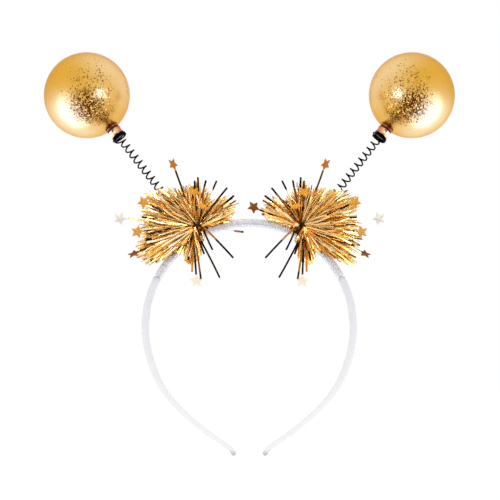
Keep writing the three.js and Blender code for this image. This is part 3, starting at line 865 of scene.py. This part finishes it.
@dataclass
class Bopper:
    """One spring with its cap and ball. Local heights run up the spring from its foot."""

    side: Side
    path: BandPath
    angle: float = 30.6
    lean_out: float = 38.0
    lean_back: float = 14.0
    gap: float = 0.3
    spring_length: float = 76.6
    spring_diameter: float = 5.3
    pitch: float = 4.25
    wire: float = 0.95
    foot_turns: float = 1.5
    end_turns: float = 1.5
    end_diameter: float = 9.6
    widening: float = 0.5
    closed_pitch: float = 0.95
    ball_diameter: float = 52.5
    ball_wall: float = 0.8
    neck: float = 5.8
    bore: float = 3.0
    neck_length: float = 3.2
    neck_chamfer: float = 0.15
    cap_diameter: float = 8.8
    cap_length: float = 6.4
    cap_rim: float = 0.35
    stub_chamfer: float = 0.2
    cup_tone: float = 0.72
    # How much the cup's tone rises on its outer side and falls on its inner side: painted highlight and
    # shade.
    cup_shade: float = 0.28
    collar_tone: float = 0.4
    # The tone of a band just above the bead: painted shadow in the groove.
    dark_collar_tone: float = 0.12
    bead_drop: float = 2.6
    bend_from: float = 18.0
    bend_to: float = 68.0
    # Patches of paler gold: out, front, up, strength and width in degrees. The rows that face the front paint
    # paler gold where highlights and bright reflections fall, a painted highlight; the two that face the back
    # are plain paler patches.
    pale_patches: tuple[tuple[float, float, float, float, float], ...] = (
        (0.43, 0.8, -0.42, 0.85, 24), (0.75, 0.35, -0.55, 0.6, 30), (0.05, 0.4, -0.92, 0.75, 30),
        (-0.36, 0.93, -0.02, 0.6, 11), (-0.5, 0.6, 0.62, 0.6, 26), (-0.95, 0.3, 0.1, 0.6, 30),
        (0.0, 0.5, 0.87, 0.2, 24), (0.5, -0.8, 0.3, 0.4, 40), (-0.5, -0.8, -0.3, 0.4, 34),
    )
    # Glitter density, in the same columns; where it is high some flakes are brown, partly painted dark
    # reflection, most of all in the first patch at the front.
    glitter_patches: tuple[tuple[float, float, float, float, float], ...] = (
        (-0.12, 0.97, -0.14, 1.0, 31), (-0.35, 0.85, 0.35, 0.45, 24), (0.1, 0.93, 0.4, 0.4, 18),
        (-0.36, 0.93, -0.02, -0.55, 9), (0.3, -0.9, 0.1, 0.8, 34), (0.95, -0.25, 0.15, 0.6, 30),
        (-0.95, -0.2, 0.2, 0.6, 30), (-0.1, -0.6, -0.75, 0.5, 28), (0.1, -0.3, 0.95, 0.4, 26),
    )

    @property
    def axis(self) -> np.ndarray:
        """The direction of the spring on the +X side."""
        out, back = math.radians(self.lean_out), math.radians(self.lean_back)
        return np.array((math.sin(out) * math.cos(back), math.sin(back), math.cos(out) * math.cos(back)))

    @property
    def foot(self) -> np.ndarray:
        """The foot of the spring on the +X side."""
        seat, normal = self.path.arc(self.angle, self.path.radius + self.path.thickness / 2)
        lean = math.acos(float(self.axis @ normal))
        lift = self.gap + self.spring_diameter / 2 * math.tan(lean) + self.wire / 2
        return seat + self.axis * lift

    @property
    def cap_top(self) -> float:
        """How high the cap's upper rim is."""
        return self.spring_length + self.gap + self.cap_length

    @property
    def ball_height(self) -> float:
        """How high the ball's middle is."""
        reach = self.ball_diameter / 2 + self.gap
        return self.cap_top + math.sqrt(reach**2 - (self.cap_diameter / 2) ** 2)

    def placed(self, points: np.ndarray) -> np.ndarray:
        """Points in the spring's own frame, moved to where the spring stands."""
        turn = Vector(UP).rotation_difference(Vector(self.side.flip(self.axis))).to_matrix()
        return np.asarray(points) @ np.array(turn).T + self.side.flip(self.foot)

    def at(self, height: float) -> tuple[float, ...]:
        """A point on the spring's axis, in metres."""
        return tuple(self.placed(UP[None] * height)[0] * MM)

    def coil(self, steps_per_turn: int = 26) -> tuple[np.ndarray, np.ndarray]:
        """The wire's centreline: closed turns, open turns, then wide closed turns under the cap.

        Args:
            steps_per_turn: how finely it is divided.

        Returns:
            The points and the coil's outward directions at them.
        """
        open_height = self.spring_length - (self.foot_turns + self.end_turns) * self.closed_pitch - self.wire
        open_turns = open_height / self.pitch
        turns = self.foot_turns + open_turns + self.end_turns
        turn = np.linspace(0, turns, round(turns * steps_per_turn))
        opened = np.clip(turn - self.foot_turns, 0, open_turns)
        height = (turn - opened) * self.closed_pitch + opened * self.pitch + self.wire / 2
        wide = np.clip((turn - turns + self.end_turns) / self.widening + 1, 0, 1)
        radius = ((1 - wide) * self.spring_diameter + wide * self.end_diameter - self.wire) / 2
        angle = 2 * math.pi * turn * -self.side.value
        out = np.stack([np.cos(angle), np.sin(angle), np.zeros_like(angle)], 1)
        return out * radius[:, None] + np.outer(height, UP), out

    def build_spring(self, sides: int = 9) -> bpy.types.Object:
        """Makes the spring between the band and the ball.

        Args:
            sides: how many sides the wire has.

        Returns:
            The piece.
        """
        line, out = self.coil()
        tangent = np.gradient(line, axis=0)
        tangent /= np.linalg.norm(tangent, axis=1)[:, None]
        side = np.cross(tangent, out)
        side /= np.linalg.norm(side, axis=1)[:, None]
        face = np.cross(side, tangent)
        turn = 2 * math.pi * np.arange(sides) / sides
        rings = [self.placed(point + self.wire / 2 * (np.outer(np.cos(turn), a) + np.outer(np.sin(turn), b)))
                 for point, a, b in zip(line, face, side)]
        parts = MeshParts()
        parts.skin(rings)
        piece = parts.build(f"coil_spring_{self.side.label}", SpringWire().material())
        self.side.bopper
        self.at(self.bend_from)
        self.at(self.bend_to)
        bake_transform(piece)
        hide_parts(f"spring_{self.side.label}")
        return piece

    def build_cap(self, segments: int = 120, flutes: int = 10, flute_depth: float = 0.3) -> bpy.types.Object:
        """Makes the fluted cap with rolled rims.

        Args:
            segments: how many steps there are round it.
            flutes: how many flutes its waist has.
            flute_depth: how deep they are.

        Returns:
            The piece.
        """
        outer, rim, chamfer = self.cap_diameter / 2, self.cap_rim, self.stub_chamfer
        waist = outer - rim
        stub = (self.end_diameter - 2 * self.wire) / 2 - self.gap
        bottom = self.spring_length + self.gap
        stub_bottom = bottom - self.end_turns * self.closed_pitch
        socket = self.neck / 2 + self.gap
        reach = self.ball_diameter / 2 + self.gap
        floor = self.ball_height - self.ball_diameter / 2 - self.neck_length - self.gap
        roll = [(outer - rim + rim * math.cos(t), rim * math.sin(t)) for t in np.linspace(-1.5, 1.5, 9)]
        bead = self.cap_top - self.bead_drop
        profile = [(0, stub_bottom), (stub - chamfer, stub_bottom)]
        profile += [(stub, stub_bottom + chamfer), (stub, bottom)]
        profile += [(r, bottom + rim + h) for r, h in roll]
        profile += [(waist, height) for height in np.linspace(bottom + 1.0, bead - 0.5, 8)]
        profile += [(r, bead + h) for r, h in roll]
        profile += [(waist, bead + 0.6), (waist, self.cap_top - 1.0)]
        profile += [(r, self.cap_top - rim + h) for r, h in roll]
        profile += [(socket, self.ball_height - math.sqrt(reach**2 - socket**2)), (socket, floor), (0, floor)]
        points, faces = turned(profile, segments)
        swing = np.arctan2(points[:, 1], points[:, 0])
        radius = np.linalg.norm(points[:, :2], axis=1)
        middle = (bottom + bead) / 2
        fade = np.clip(1 - np.abs(points[:, 2] - middle) / ((bead - bottom) / 2 - 0.6), 0, 1) ** 0.5
        depth = flute_depth * fade * (radius > waist - 0.01) * (1 + np.cos(flutes * swing)) / 2
        points[:, :2] *= (1 - depth / np.maximum(radius, 0.01))[:, None]
        middles = np.array([points[list(face)].mean(0) for face in faces])
        heights = middles[:, 2]
        outwards = self.placed(middles * (1, 1, 0)) - self.placed(np.zeros((1, 3)))
        # The cup is lighter on its outer side and darker on its inner side: painted highlight and shade.
        cup = self.cup_tone + self.cup_shade * np.clip(outwards[:, 0] * self.side.value / waist * 2, -1, 1)
        # A dark band just above the bead: painted shadow in the groove.
        collar = np.where(np.abs(heights - bead - 0.9) < 0.5, self.dark_collar_tone, self.collar_tone)
        parts = MeshParts()
        # The stub inside the spring's end turns is black: painted shade.
        parts.add(self.placed(points), faces,
                  np.where(heights < bottom + 0.05, 0.0, np.where(heights < bead + 0.2, cup, collar)))
        return self.ridden(parts.build(f"gold_cap_{self.side.label}", CapMetal().material()),
                           f"ferrule_{self.side.label}")

    def build_ball(self, segments: int = 128, rings: int = 64) -> bpy.types.Object:
        """Makes the hollow ball with its neck.

        Args:
            segments: how many steps there are round it.
            rings: how many steps there are from its neck to its far side.

        Returns:
            The piece.
        """
        radius, middle = self.ball_diameter / 2, self.ball_height

        def arc(size: float, opening: float) -> list[tuple[float, float]]:
            """A profile from the edge of an opening round to the far side."""
            turns = np.linspace(math.asin(opening / size), math.pi, rings)
            return [(size * math.sin(t) if t < math.pi else 0.0, middle - size * math.cos(t)) for t in turns]

        end, chamfer = middle - radius - self.neck_length, self.neck_chamfer
        profile = arc(radius - self.ball_wall, self.bore / 2)[::-1]
        profile += [(self.bore / 2, end), (self.neck / 2 - chamfer, end), (self.neck / 2, end + chamfer)]
        profile += arc(radius, self.neck / 2)
        points, faces = turned(profile, segments)
        points = self.placed(points)
        ways = np.array([points[list(face)].mean(0) for face in faces]) - self.placed(UP[None] * middle)[0]
        ways /= np.linalg.norm(ways, axis=1)[:, None]
        parts = MeshParts()
        # The face tone paints paler gold where highlights fall: painted highlight.
        parts.add(points, faces, self.patched(ways, self.pale_patches, 2))
        ball = parts.build(f"glitter_ball_{self.side.label}", BallGold().material())
        glitter = ball.data.attributes.new("glitter", "FLOAT", "FACE")
        glitter.data.foreach_set("value", self.patched(ways, self.glitter_patches, 4))
        return self.ridden(ball, f"ball_{self.side.label}")

    def patched(self, ways: np.ndarray, patches: Sequence[tuple[float, ...]], power: int) -> np.ndarray:
        """Values between 0 and 1 over the ball, raised in soft patches.

        Args:
            ways: the directions of its faces from its middle.
            patches: out, front and up of each patch, its strength and its width in degrees.
            power: how sharply a patch ends.

        Returns:
            One value for each face.
        """
        values = np.zeros(len(ways))
        for out, front, up, strength, width in patches:
            middle = unit(self.side.flip(np.array((out, -front, up))))
            angles = np.degrees(np.arccos(np.clip(ways @ middle, -1, 1)))
            values += strength * np.exp(-((angles / width) ** power))
        return np.clip(values, 0, 1)

    def ridden(self, piece: bpy.types.Object, node: str) -> bpy.types.Object:
        """Has a piece ride on the bopper's body and stand for its node."""
        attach(piece, self.side.bopper)
        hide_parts(node)
        return piece

    def build(self) -> list[bpy.types.Object]:
        """Makes the spring, the cap and the ball."""
        return [self.build_spring(), self.build_cap(), self.build_ball()]


@dataclass
class TinselBurst:
    """The foil burst of one side: a wound knot with fine strips, loose strands and the stars' stems."""

    side: Side
    path: BandPath
    angle: float = 27.2
    rise: float = 4.6
    reach: float = 38.4
    depth: float = 29.0
    knot: tuple[float, float, float] = (13.0, 18.0, 16.5)
    core_share: float = 0.8
    root_depth: float = 0.36
    gather: float = 0.5
    hollow: float = 2.5
    root_shake: float = 0.6
    hanging_slant: float = 0.3
    ball_strips: int = 760
    fan_strips: int = 950
    fan_front: tuple[float, float] = (-0.25, 0.5)
    fan_least: float = 0.15
    width: float = 1.15
    foil: float = 0.05
    crease: float = 0.2
    spread: float = 0.36
    inner_spread: float = 0.6
    tone: float = 0.77
    # Strips low on the outer side take this lower tone: painted shade.
    low_tone: float = 0.62
    inner_until: float = 0.05
    low_from: float = -0.25
    longest: float = 1.08
    widths: tuple[float, float] = (0.7, 1.2)
    tone_spread: float = 0.22
    stretch_spread: float = 0.12
    twist: float = 0.5
    bow: float = 0.05
    jitter: float = 0.07
    open_front: float = 0.8
    dark_share: float = 0.19
    dark_width: float = 0.65
    dark_tones: tuple[float, float] = (0.02, 0.2)
    strand_tones: tuple[float, float] = (0.1, 0.24)
    strand_widths: tuple[float, float] = (0.25, 1.02)
    strand_turn: float = 0.3
    strand_bow: float = 0.015
    stem_far_from: float = 0.45
    # The knot's tone, near-black: painted shade at the heart of the burst.
    core_tone: float = 0.03
    core_taper: float = 0.2
    core_dents: float = 0.7
    dent_scale: float = 0.6
    seed: int = 5
    outline: tuple[tuple[float, float], ...] = (
        (-5, 0.17), (5, 0.26), (12, 0.54), (20, 0.63), (30, 0.69), (45, 0.68), (55, 0.54), (62, 0.47),
        (70, 0.55), (80, 0.64), (90, 0.69), (105, 0.65), (118, 0.66), (128, 0.75), (140, 0.87),
        (150, 0.96), (165, 0.88), (180, 0.91), (195, 0.93), (207, 1.04), (217, 1.03), (222, 0.76),
        (228, 0.56), (240, 0.44), (250, 0.56), (262, 0.59), (275, 0.46), (285, 0.25), (300, 0.18),
    )
    strands: tuple[tuple[float, float, float, float, float, str], ...] = (
        (-0.29, 0.72, 0.3, 0.78, 0.78, "both"), (-0.455, 0.61, 0.42, 0.0, 0.8, "both"),
        (-0.56, 0.49, 0.35, 0.0, 0.75, "both"), (-0.59, 0.42, 0.2, 0.6, 1.0, "both"),
        (0.0, 0.775, 0.3, 0.0, 0.7, "both"), (-0.125, 0.725, 0.35, 0.0, 0.85, "both"),
        (0.05, 0.72, 0.35, 0.0, 0.8, "both"), (-0.55, -0.475, 0.42, 0.0, 0.45, "both"),
        (-0.23, -0.35, 0.48, 0.0, 0.2, "both"), (-0.1, -0.415, 0.5, 0.0, 0.5, "both"),
        (-0.34, -0.78, 0.42, 0.0, 0.25, "both"), (-0.05, -0.795, 0.45, 0.0, 0.85, "both"),
        (0.09, -0.69, 0.36, 0.0, 1.0, "both"), (0.147, -0.51, 0.4, 0.0, 0.7, "both"),
        (0.81, -0.21, 0.35, 0.0, 0.72, "both"), (0.83, -0.285, 0.3, 0.0, 0.8, "both"),
        (0.87, 0.16, 0.3, 0.0, 0.85, "both"), (-0.706, -0.075, 0.5, 0.8, 0.95, "left"),
    )

    @property
    def frame(self) -> tuple[np.ndarray, np.ndarray, np.ndarray]:
        """The knot's middle, its direction away from the head, and its direction along the band."""
        middle, normal = self.path.arc(self.angle, self.path.radius + self.rise)
        return middle, normal, np.array((normal[2], 0, -normal[0]))

    def from_knot(self, out: float, up: float, front: float) -> np.ndarray:
        """A point given in shares of the reach from the knot's middle."""
        return self.frame[0] + np.array((out, -front, up)) * self.reach

    def root(self, direction: np.ndarray) -> np.ndarray:
        """The root of a strip in the knot's wall: those that come forward start close to its middle."""
        middle, normal, tangent = self.frame
        along = float(direction @ tangent)
        away = direction - tangent * along
        if direction @ normal < 0:
            away = BACK * math.copysign(1, direction[1])
        away = unit(away)
        length, width, height = (size * self.root_depth for size in self.knot)
        level = 1 - self.gather * float(np.clip(direction @ FRONT * 3, 0, 1))
        aside = (normal * float(away @ normal) * height + tangent * along * length) * level
        if direction @ FRONT > 0:
            aside *= max(1.0, self.hollow / max(float(np.linalg.norm(aside)), 0.1))
        return middle + aside + BACK * away[1] * width

    def reach_at(self, bearing: float) -> float:
        """The longest strip at a bearing seen from the front, 0 where none grows."""
        bearings, reaches = zip(*self.outline)
        return self.reach * float(np.interp(bearing, bearings, reaches, left=0, right=0))

    def ribbon(self, parts: MeshParts, start: np.ndarray, end: np.ndarray, width: float | np.ndarray,
               tone: float | np.ndarray, faces: np.ndarray, draw: np.random.Generator, bow: float) -> None:
        """Adds one thin creased strip.

        Args:
            parts: the mesh that it goes into.
            start: its root.
            end: its tip.
            width: how wide it is, or one width for each end of its stretches.
            tone: its tint value, or one for each stretch.
            faces: the angle that its face is turned to at each end of its stretches.
            draw: the seeded source of chance.
            bow: how far its middle stands off, as a share of its length.
        """
        along = end - start
        length = float(np.linalg.norm(along))
        along /= length
        level = unit(np.cross(along, FRONT + 0.001 * UP))
        upright = np.cross(level, along)
        offset = (level * draw.uniform(-bow, bow) + upright * draw.uniform(-bow, bow)) * length
        rings = []
        widths = np.broadcast_to(width, len(faces))
        for share, turn, across in zip(np.linspace(0, 1, len(faces)), faces, widths):
            middle = start + along * share * length + offset * 4 * share * (1 - share)
            flat = level * math.cos(turn) + upright * math.sin(turn)
            through = np.cross(along, flat)
            half, ridge, skin = flat * across / 2, through * across * self.crease, through * self.foil
            rings.append(middle + np.array([half, ridge - skin, -half, ridge + skin]))
        sides = len(rings[0])
        if isinstance(tone, np.ndarray):
            tone = np.append(np.repeat(tone, sides), (tone[0], tone[-1]))
        parts.skin(rings, tone=tone)

    def strip(self, parts: MeshParts, direction: np.ndarray, reach: float, draw: np.random.Generator) -> None:
        """Adds one strip of the mass, with a twist and a tone of its own.

        Args:
            parts: the mesh that it goes into.
            direction: where it points.
            reach: how far it may reach, seen from the front.
            draw: the seeded source of chance.
        """
        middle, normal, _ = self.frame
        if direction @ normal < 0 and abs(direction[1]) < self.hanging_slant:
            direction[1] = math.copysign(self.hanging_slant, direction[1])
            direction = unit(direction)
        level = math.hypot(direction[0], direction[2])
        inner = direction[0] < self.inner_until and direction[2] > 0
        spread, power = (self.inner_spread, 1.0) if inner else (self.spread, 1.3)
        share = self.longest - spread * draw.uniform() ** power
        length = share / math.hypot(level / reach, direction[1] / self.depth)
        # Strips low on the outer side are tinted darker: painted shade.
        low = direction[0] > 0 and direction[2] < self.low_from
        width = self.width * draw.uniform(*self.widths)
        tone = draw.normal(self.low_tone if low else self.tone, self.tone_spread)
        if draw.uniform() < self.dark_share:
            width, tone = width * self.dark_width, draw.uniform(*self.dark_tones)
        tones = np.clip(tone + draw.normal(0, self.stretch_spread, 5), self.dark_tones[0], 1)
        turns = draw.uniform(0, math.pi) + draw.normal(0, self.twist) * np.linspace(0, 1, 6)
        root = self.root(direction) + draw.normal(0, self.root_shake, 3)
        self.ribbon(parts, root, middle + direction * length, width, tones, turns, draw, self.bow)

    def ball_directions(self, draw: np.random.Generator) -> Iterator[np.ndarray]:
        """Directions spread evenly all round and shaken a little."""
        for i in range(self.ball_strips):
            depth = 1 - 2 * (i + 0.5) / self.ball_strips
            level = math.sqrt(1 - depth * depth)
            turn = GOLDEN_ANGLE * i
            direction = np.array((level * math.cos(turn), depth, level * math.sin(turn)))
            yield unit(direction + draw.normal(0, self.jitter, 3))

    def fan_directions(self, draw: np.random.Generator) -> Iterator[np.ndarray]:
        """Directions close to the plane of the band, more of them where the strips are long."""
        low, high = self.outline[0][0], self.outline[-1][0]
        for i in range(self.fan_strips):
            bearing = low + (high - low) * (i + draw.uniform()) / self.fan_strips
            if draw.uniform() < self.fan_least + (1 - self.fan_least) * self.reach_at(bearing) / self.reach:
                front, turn = draw.uniform(*self.fan_front), math.radians(bearing)
                level = math.sqrt(1 - front * front)
                yield np.array((-level * math.cos(turn), -front, level * math.sin(turn)))

    def strand(self, parts: MeshParts, tip: np.ndarray, edge_until: float, far_from: float,
               draw: np.random.Generator, stretches: int = 20, far_tone: float = DARK) -> None:
        """Adds one loose strand from the knot's wall to a point.

        Args:
            parts: the mesh that it goes into.
            tip: its end.
            edge_until: the share of it that shows its edge to the front before it turns its face.
            far_from: the share from which it has its far tone.
            draw: the seeded source of chance.
            stretches: how finely it is divided.
            far_tone: its tint value there, dark unless said otherwise.
        """
        direction = unit(tip - self.frame[0])
        places = np.linspace(0, 1, stretches + 1)
        turns = np.where(places < edge_until, math.pi / 2, 0.0)
        turns = turns + draw.uniform(-self.strand_turn, self.strand_turn)
        near_tone = draw.uniform(*self.strand_tones)
        tones = np.where(places[:-1] + 0.5 / stretches < far_from, near_tone, far_tone)
        widths = self.width * np.where(places < edge_until, *self.strand_widths)
        self.ribbon(parts, self.root(direction), tip, widths, tones, turns, draw, self.strand_bow)

    def build(self, stems: Sequence[tuple[np.ndarray, float]]) -> bpy.types.Object:
        """Makes the burst and has it ride.

        Args:
            stems: the ends and the far tones of the strands that carry the stars, on the +X side.

        Returns:
            The piece.
        """
        draw = np.random.default_rng(self.seed + self.side.value)
        parts = MeshParts()
        self.add_core(parts)
        for direction in [*self.ball_directions(draw), *self.fan_directions(draw)]:
            bearing = math.degrees(math.atan2(direction[2], -direction[0]))
            reach = self.reach_at(bearing + 360 if bearing < self.outline[0][0] else bearing)
            if reach > 0 and direction[1] > -self.open_front:
                self.strip(parts, direction, reach, draw)
        for out, up, front, edge_until, far_from, sides in self.strands:
            if self.side.has(sides):
                self.strand(parts, self.from_knot(out, up, front), edge_until, far_from, draw)
        for tip, far_tone in stems:
            self.strand(parts, tip, 0.0, self.stem_far_from, draw, far_tone=far_tone)
        parts.points = [self.side.flip(points) for points in parts.points]
        piece = parts.build(f"tinsel_{self.side.label}", TinselFoil().material(), smooth=False)
        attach(piece, BAND_BODY)
        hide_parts(f"tinsel_burst_{self.side.label}")
        return piece

    def add_core(self, parts: MeshParts, steps: int = 14, sides: int = 28) -> None:
        """Adds the crumpled foil that is wound round the band, a barrel along it, painted near-black as
        painted shade at the heart of the burst.
        """
        middle, normal, tangent = self.frame
        length, width, height = (size * self.core_share for size in self.knot)
        rings = []
        for share in np.linspace(-1, 1, steps):
            size = 1 - self.core_taper * abs(share) ** 3
            turn = 2 * math.pi * np.arange(sides) / sides
            ring = (middle + tangent * share * length / 2
                    + np.outer(np.cos(turn), normal) * size * height / 2
                    + np.outer(np.sin(turn), BACK) * size * width / 2)
            dents = [noise.noise(Vector(corner * self.dent_scale)) * self.core_dents for corner in ring]
            rings.append(np.array([
                corner + unit(corner - middle) * dent for corner, dent in zip(ring, dents)]))
        parts.skin(rings, tone=self.core_tone)


class StarRow(NamedTuple):
    """Where a star stands, in shares of the reach from the knot's middle, how it turns and its tint."""

    out: float
    up: float
    front: float
    turn: float
    tone: float
    sides: str


@dataclass
class FoilStars:
    """The stamped foil stars of one side, each at the end of a strand."""

    side: Side
    burst: TinselBurst
    diameter: float = 8.4
    thickness: float = 0.32
    points: int = 5
    waist: float = 0.5
    emboss: float = 0.45
    stem_inset: float = 0.3
    # Columns: out, up, front, turn, tone and sides; a tone of 1.0 paints a highlight on that star.
    rows: tuple[tuple[float, float, float, float, float, str], ...] = (
        (0.39, 0.98, 0.12, 50, 0.3, "both"), (0.84, 0.39, 0.3, 0, 0.62, "both"),
        (1.22, 0.14, 0.08, 0, 1.0, "both"), (0.94, -0.07, 0.3, 15, 0.68, "both"),
        (1.0, -0.41, 0.12, 62, 0.12, "both"), (0.05, 0.54, 0.62, 10, 0.54, "both"),
        (-0.08, 0.32, 0.78, 0, 0.58, "both"), (0.02, -0.83, 0.42, 0, 0.95, "both"),
        (-0.73, 0.31, 0.3, 25, 0.12, "right"),
    )

    @property
    def mine(self) -> list[StarRow]:
        """The rows of the stars that this side has."""
        return [StarRow(*row) for row in self.rows if self.side.has(row[-1])]

    def stem(self, row: StarRow) -> tuple[np.ndarray, float]:
        """The end of a star's strand, at its nearest point, and its tone: pale for the palest star, whose
        painted highlight it carries on, dark otherwise.
        """
        middle = self.burst.from_knot(*row[:3])
        root = self.burst.root(unit(middle - self.burst.frame[0]))
        end = middle - unit(middle - root) * (self.diameter / 2 - self.stem_inset)
        return end, PALE_HIGHLIGHT if row.tone == PALE_HIGHLIGHT else DARK

    def build_star(self, number: int, row: StarRow) -> bpy.types.Object:
        """Makes one embossed star.

        Args:
            number: its number on this side, from 1.
            row: its place, turn and tone.

        Returns:
            The piece.
        """
        middle = self.burst.from_knot(*row[:3])
        root = self.burst.root(unit(middle - self.burst.frame[0]))
        along = self.side.flip(unit(middle - root))
        face = unit(FRONT - along * float(FRONT @ along))
        turned_by = Matrix.Rotation(math.radians(row.turn) * self.side.value, 3, Vector(along))
        face = np.array(turned_by @ Vector(face))
        across = np.cross(face, along)
        parts = MeshParts()
        corners = 2 * self.points
        outline = []
        for i in range(corners):
            size = self.diameter / 2 * (self.waist if i % 2 else 1)
            turn = math.pi + 2 * math.pi * i / corners
            outline.append(along * size * math.cos(turn) + across * size * math.sin(turn))
        flat = np.array(outline)
        centre = self.side.flip(middle)
        front = centre + flat + face * self.thickness / 2
        rear = centre + flat - face * self.thickness / 2
        peak, hollow = centre + face * self.emboss, centre + face * (self.emboss - self.thickness)
        points = np.vstack([front, rear, peak, hollow])
        faces: list[tuple[int, ...]] = []
        for i in range(corners):
            j = (i + 1) % corners
            faces += [(i, j, 2 * corners), (corners + j, corners + i, 2 * corners + 1),
                      (j, i, corners + i, corners + j)]
        parts.add(points, faces, tone=row.tone)
        piece = parts.build(f"foil_star_{self.side.label}_{number}", StarFoil().material(), smooth=False)
        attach(piece, BAND_BODY)
        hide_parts(f"star_{self.side.label}_{number}")
        return piece

    def build(self) -> list[bpy.types.Object]:
        """Makes this side's stars."""
        return [self.build_star(number, row) for number, row in enumerate(self.mine, 1)]


@dataclass(frozen=True)
class SoftBox:
    """A soft light: its way from what it lights on the +X side, how far off, its size and its light."""

    way: tuple[float, float, float]
    distance: float
    size: tuple[float, float]
    power: float
    colour: Colour


@dataclass
class Studio:
    """A pale floor, soft light all round, and the camera."""

    frame_width: float = 0.3
    distance: float = 1.5
    sensor: float = 36.0
    aim: tuple[float, float, float] = (0.0004, 0.0, -0.0141)
    floor_height: float = -0.62
    key: SoftBox = SoftBox((0.64, -0.36, -0.68), 0.45, (0.55, 1.0), 1.12, (0.72, 0.92, 1.7))
    glint: SoftBox = SoftBox((-0.64, -0.77, -0.05), 0.6, (0.26, 0.22), 0.3, (0.72, 0.92, 1.7))
    front: SoftBox = SoftBox((-0.1, -0.97, -0.1), 0.8, (0.6, 0.6), 8.2, (1.0, 0.92, 0.78))
    pale: Colour = (1.0, 1.0, 1.0)
    dark: Colour = (0.13, 0.035, 0.008)
    dark_way: tuple[float, float, float] = (0.0, -0.83, -0.56)
    dark_from: float = 0.58
    dark_full: float = 0.93
    floor_side: float = 6.0
    floor_front: float = -0.2
    floor_back: float = 9.0

    def build_floor(self) -> None:
        """Makes the pale floor, which starts just in front of the headband."""
        side, front, back = self.floor_side, self.floor_front, self.floor_back
        corners = [(-side, front), (side, front), (side, back), (-side, back)]
        parts = MeshParts()
        parts.add(np.array([(x, y, self.floor_height) for x, y in corners]) / MM, [(0, 1, 2, 3)])
        made = bpy.data.materials.new("pale_floor")
        made.use_nodes = True
        board = Board(made.node_tree)
        surface = board.add("BsdfPrincipled", {"Base Color": (0.95, 0.95, 0.95, 1), "Roughness": 0.9,
                                               "Emission Color": (1, 1, 1, 1), "Emission Strength": 0.12})
        board.add("OutputMaterial", {"Surface": surface.outputs[0]})
        parts.build("floor", made)

    def build_world(self) -> None:
        """Makes the soft light: pale all round, darker low in front."""
        world = bpy.data.worlds.new("studio")
        bpy.context.scene.world = world
        world.use_nodes = True
        board = Board(world.node_tree)
        way = board.add("TexCoord").outputs["Generated"]
        near = board.add("VectorMath", {0: way, 1: self.dark_way}, operation="DOT_PRODUCT").outputs["Value"]
        share = board.span(near, self.dark_from, self.dark_full, interpolation_type="SMOOTHSTEP")
        mirrored = board.add("LightPath").outputs["Is Glossy Ray"]
        colour = board.mix(board.math("MULTIPLY", share, mirrored), self.pale, self.dark)
        back = board.add("Background", {"Color": colour, "Strength": 1.0})
        board.add("OutputWorld", {"Surface": back.outputs[0]})

    def hang(self, box: SoftBox, name: str, side: Side, targets: Sequence[bpy.types.Object]) -> None:
        """Hangs a soft light that lights only a few pieces.

        Args:
            box: the light.
            name: its name, without the side.
            side: the side that it hangs on.
            targets: the pieces that it lights; it faces the first of them.
        """
        name = f"{name}_{side.label}"
        corners = np.array([corner.co for corner in targets[0].data.vertices])
        middle = Vector((corners.min(0) + corners.max(0)) / 2)
        place = middle + Vector(side.flip(box.way)).normalized() * box.distance
        lamp = bpy.data.lights.new(name, "AREA")
        lamp.shape, lamp.energy, lamp.color = "ELLIPSE", box.power, box.colour
        lamp.size, lamp.size_y = box.size
        made = bpy.data.objects.new(name, lamp)
        made.location = place
        made.visible_camera = False
        made.rotation_euler = (middle - place).to_track_quat("-Z", "Y").to_euler()
        bpy.context.scene.collection.objects.link(made)
        lit = bpy.data.collections.new(f"{name}_lights")
        for target in targets:
            lit.objects.link(target)
        made.light_linking.receiver_collection = lit

    def build_camera(self) -> None:
        """Sets the camera up in front, level with the middle of the photograph."""
        lens = bpy.data.cameras.new("camera")
        lens.sensor_width = self.sensor
        lens.lens = self.sensor * self.distance / self.frame_width
        lens.clip_end = 50
        made = bpy.data.objects.new("camera", lens)
        made.location = Vector(self.aim) + Vector((0, -self.distance, 0))
        made.rotation_euler = (math.pi / 2, 0, 0)
        bpy.context.scene.collection.objects.link(made)
        bpy.context.scene.camera = made

    def build(self, heads: dict[Side, Sequence[bpy.types.Object]],
              bursts: dict[Side, bpy.types.Object]) -> None:
        """Makes the floor, the light and the camera.

        Args:
            heads: the ball and the cap of each side, which have soft lights of their own.
            bursts: the burst of each side, which has one too.
        """
        self.build_floor()
        self.build_world()
        for side, head in heads.items():
            self.hang(self.key, "key", side, head)
            self.hang(self.glint, "glint", side, head)
        for side, foil in bursts.items():
            self.hang(self.front, "front", side, [foil])
        self.build_camera()
        bpy.context.scene.view_settings.view_transform = "Standard"


def main() -> None:
    """Builds the headband, then each side's bopper, burst and stars, then the studio."""
    logging.basicConfig(level=logging.INFO, format="%(name)s: %(message)s")
    path = BandPath()
    pieces = [Headband(path).build(), GlitterWrap(path).build()]
    heads, bursts = {}, {}
    for side in Side:
        burst = TinselBurst(side, path)
        stars = FoilStars(side, burst)
        spring, cap, ball = Bopper(side, path).build()
        heads[side] = (ball, cap)
        bursts[side] = burst.build([stars.stem(row) for row in stars.mine])
        pieces += [spring, cap, ball, bursts[side], *stars.build()]
    Studio().build(heads, bursts)
    for piece in pieces:
        LOG.info("%s: %d faces", piece.name, len(piece.data.polygons))


if __name__ == "__main__":
    main()
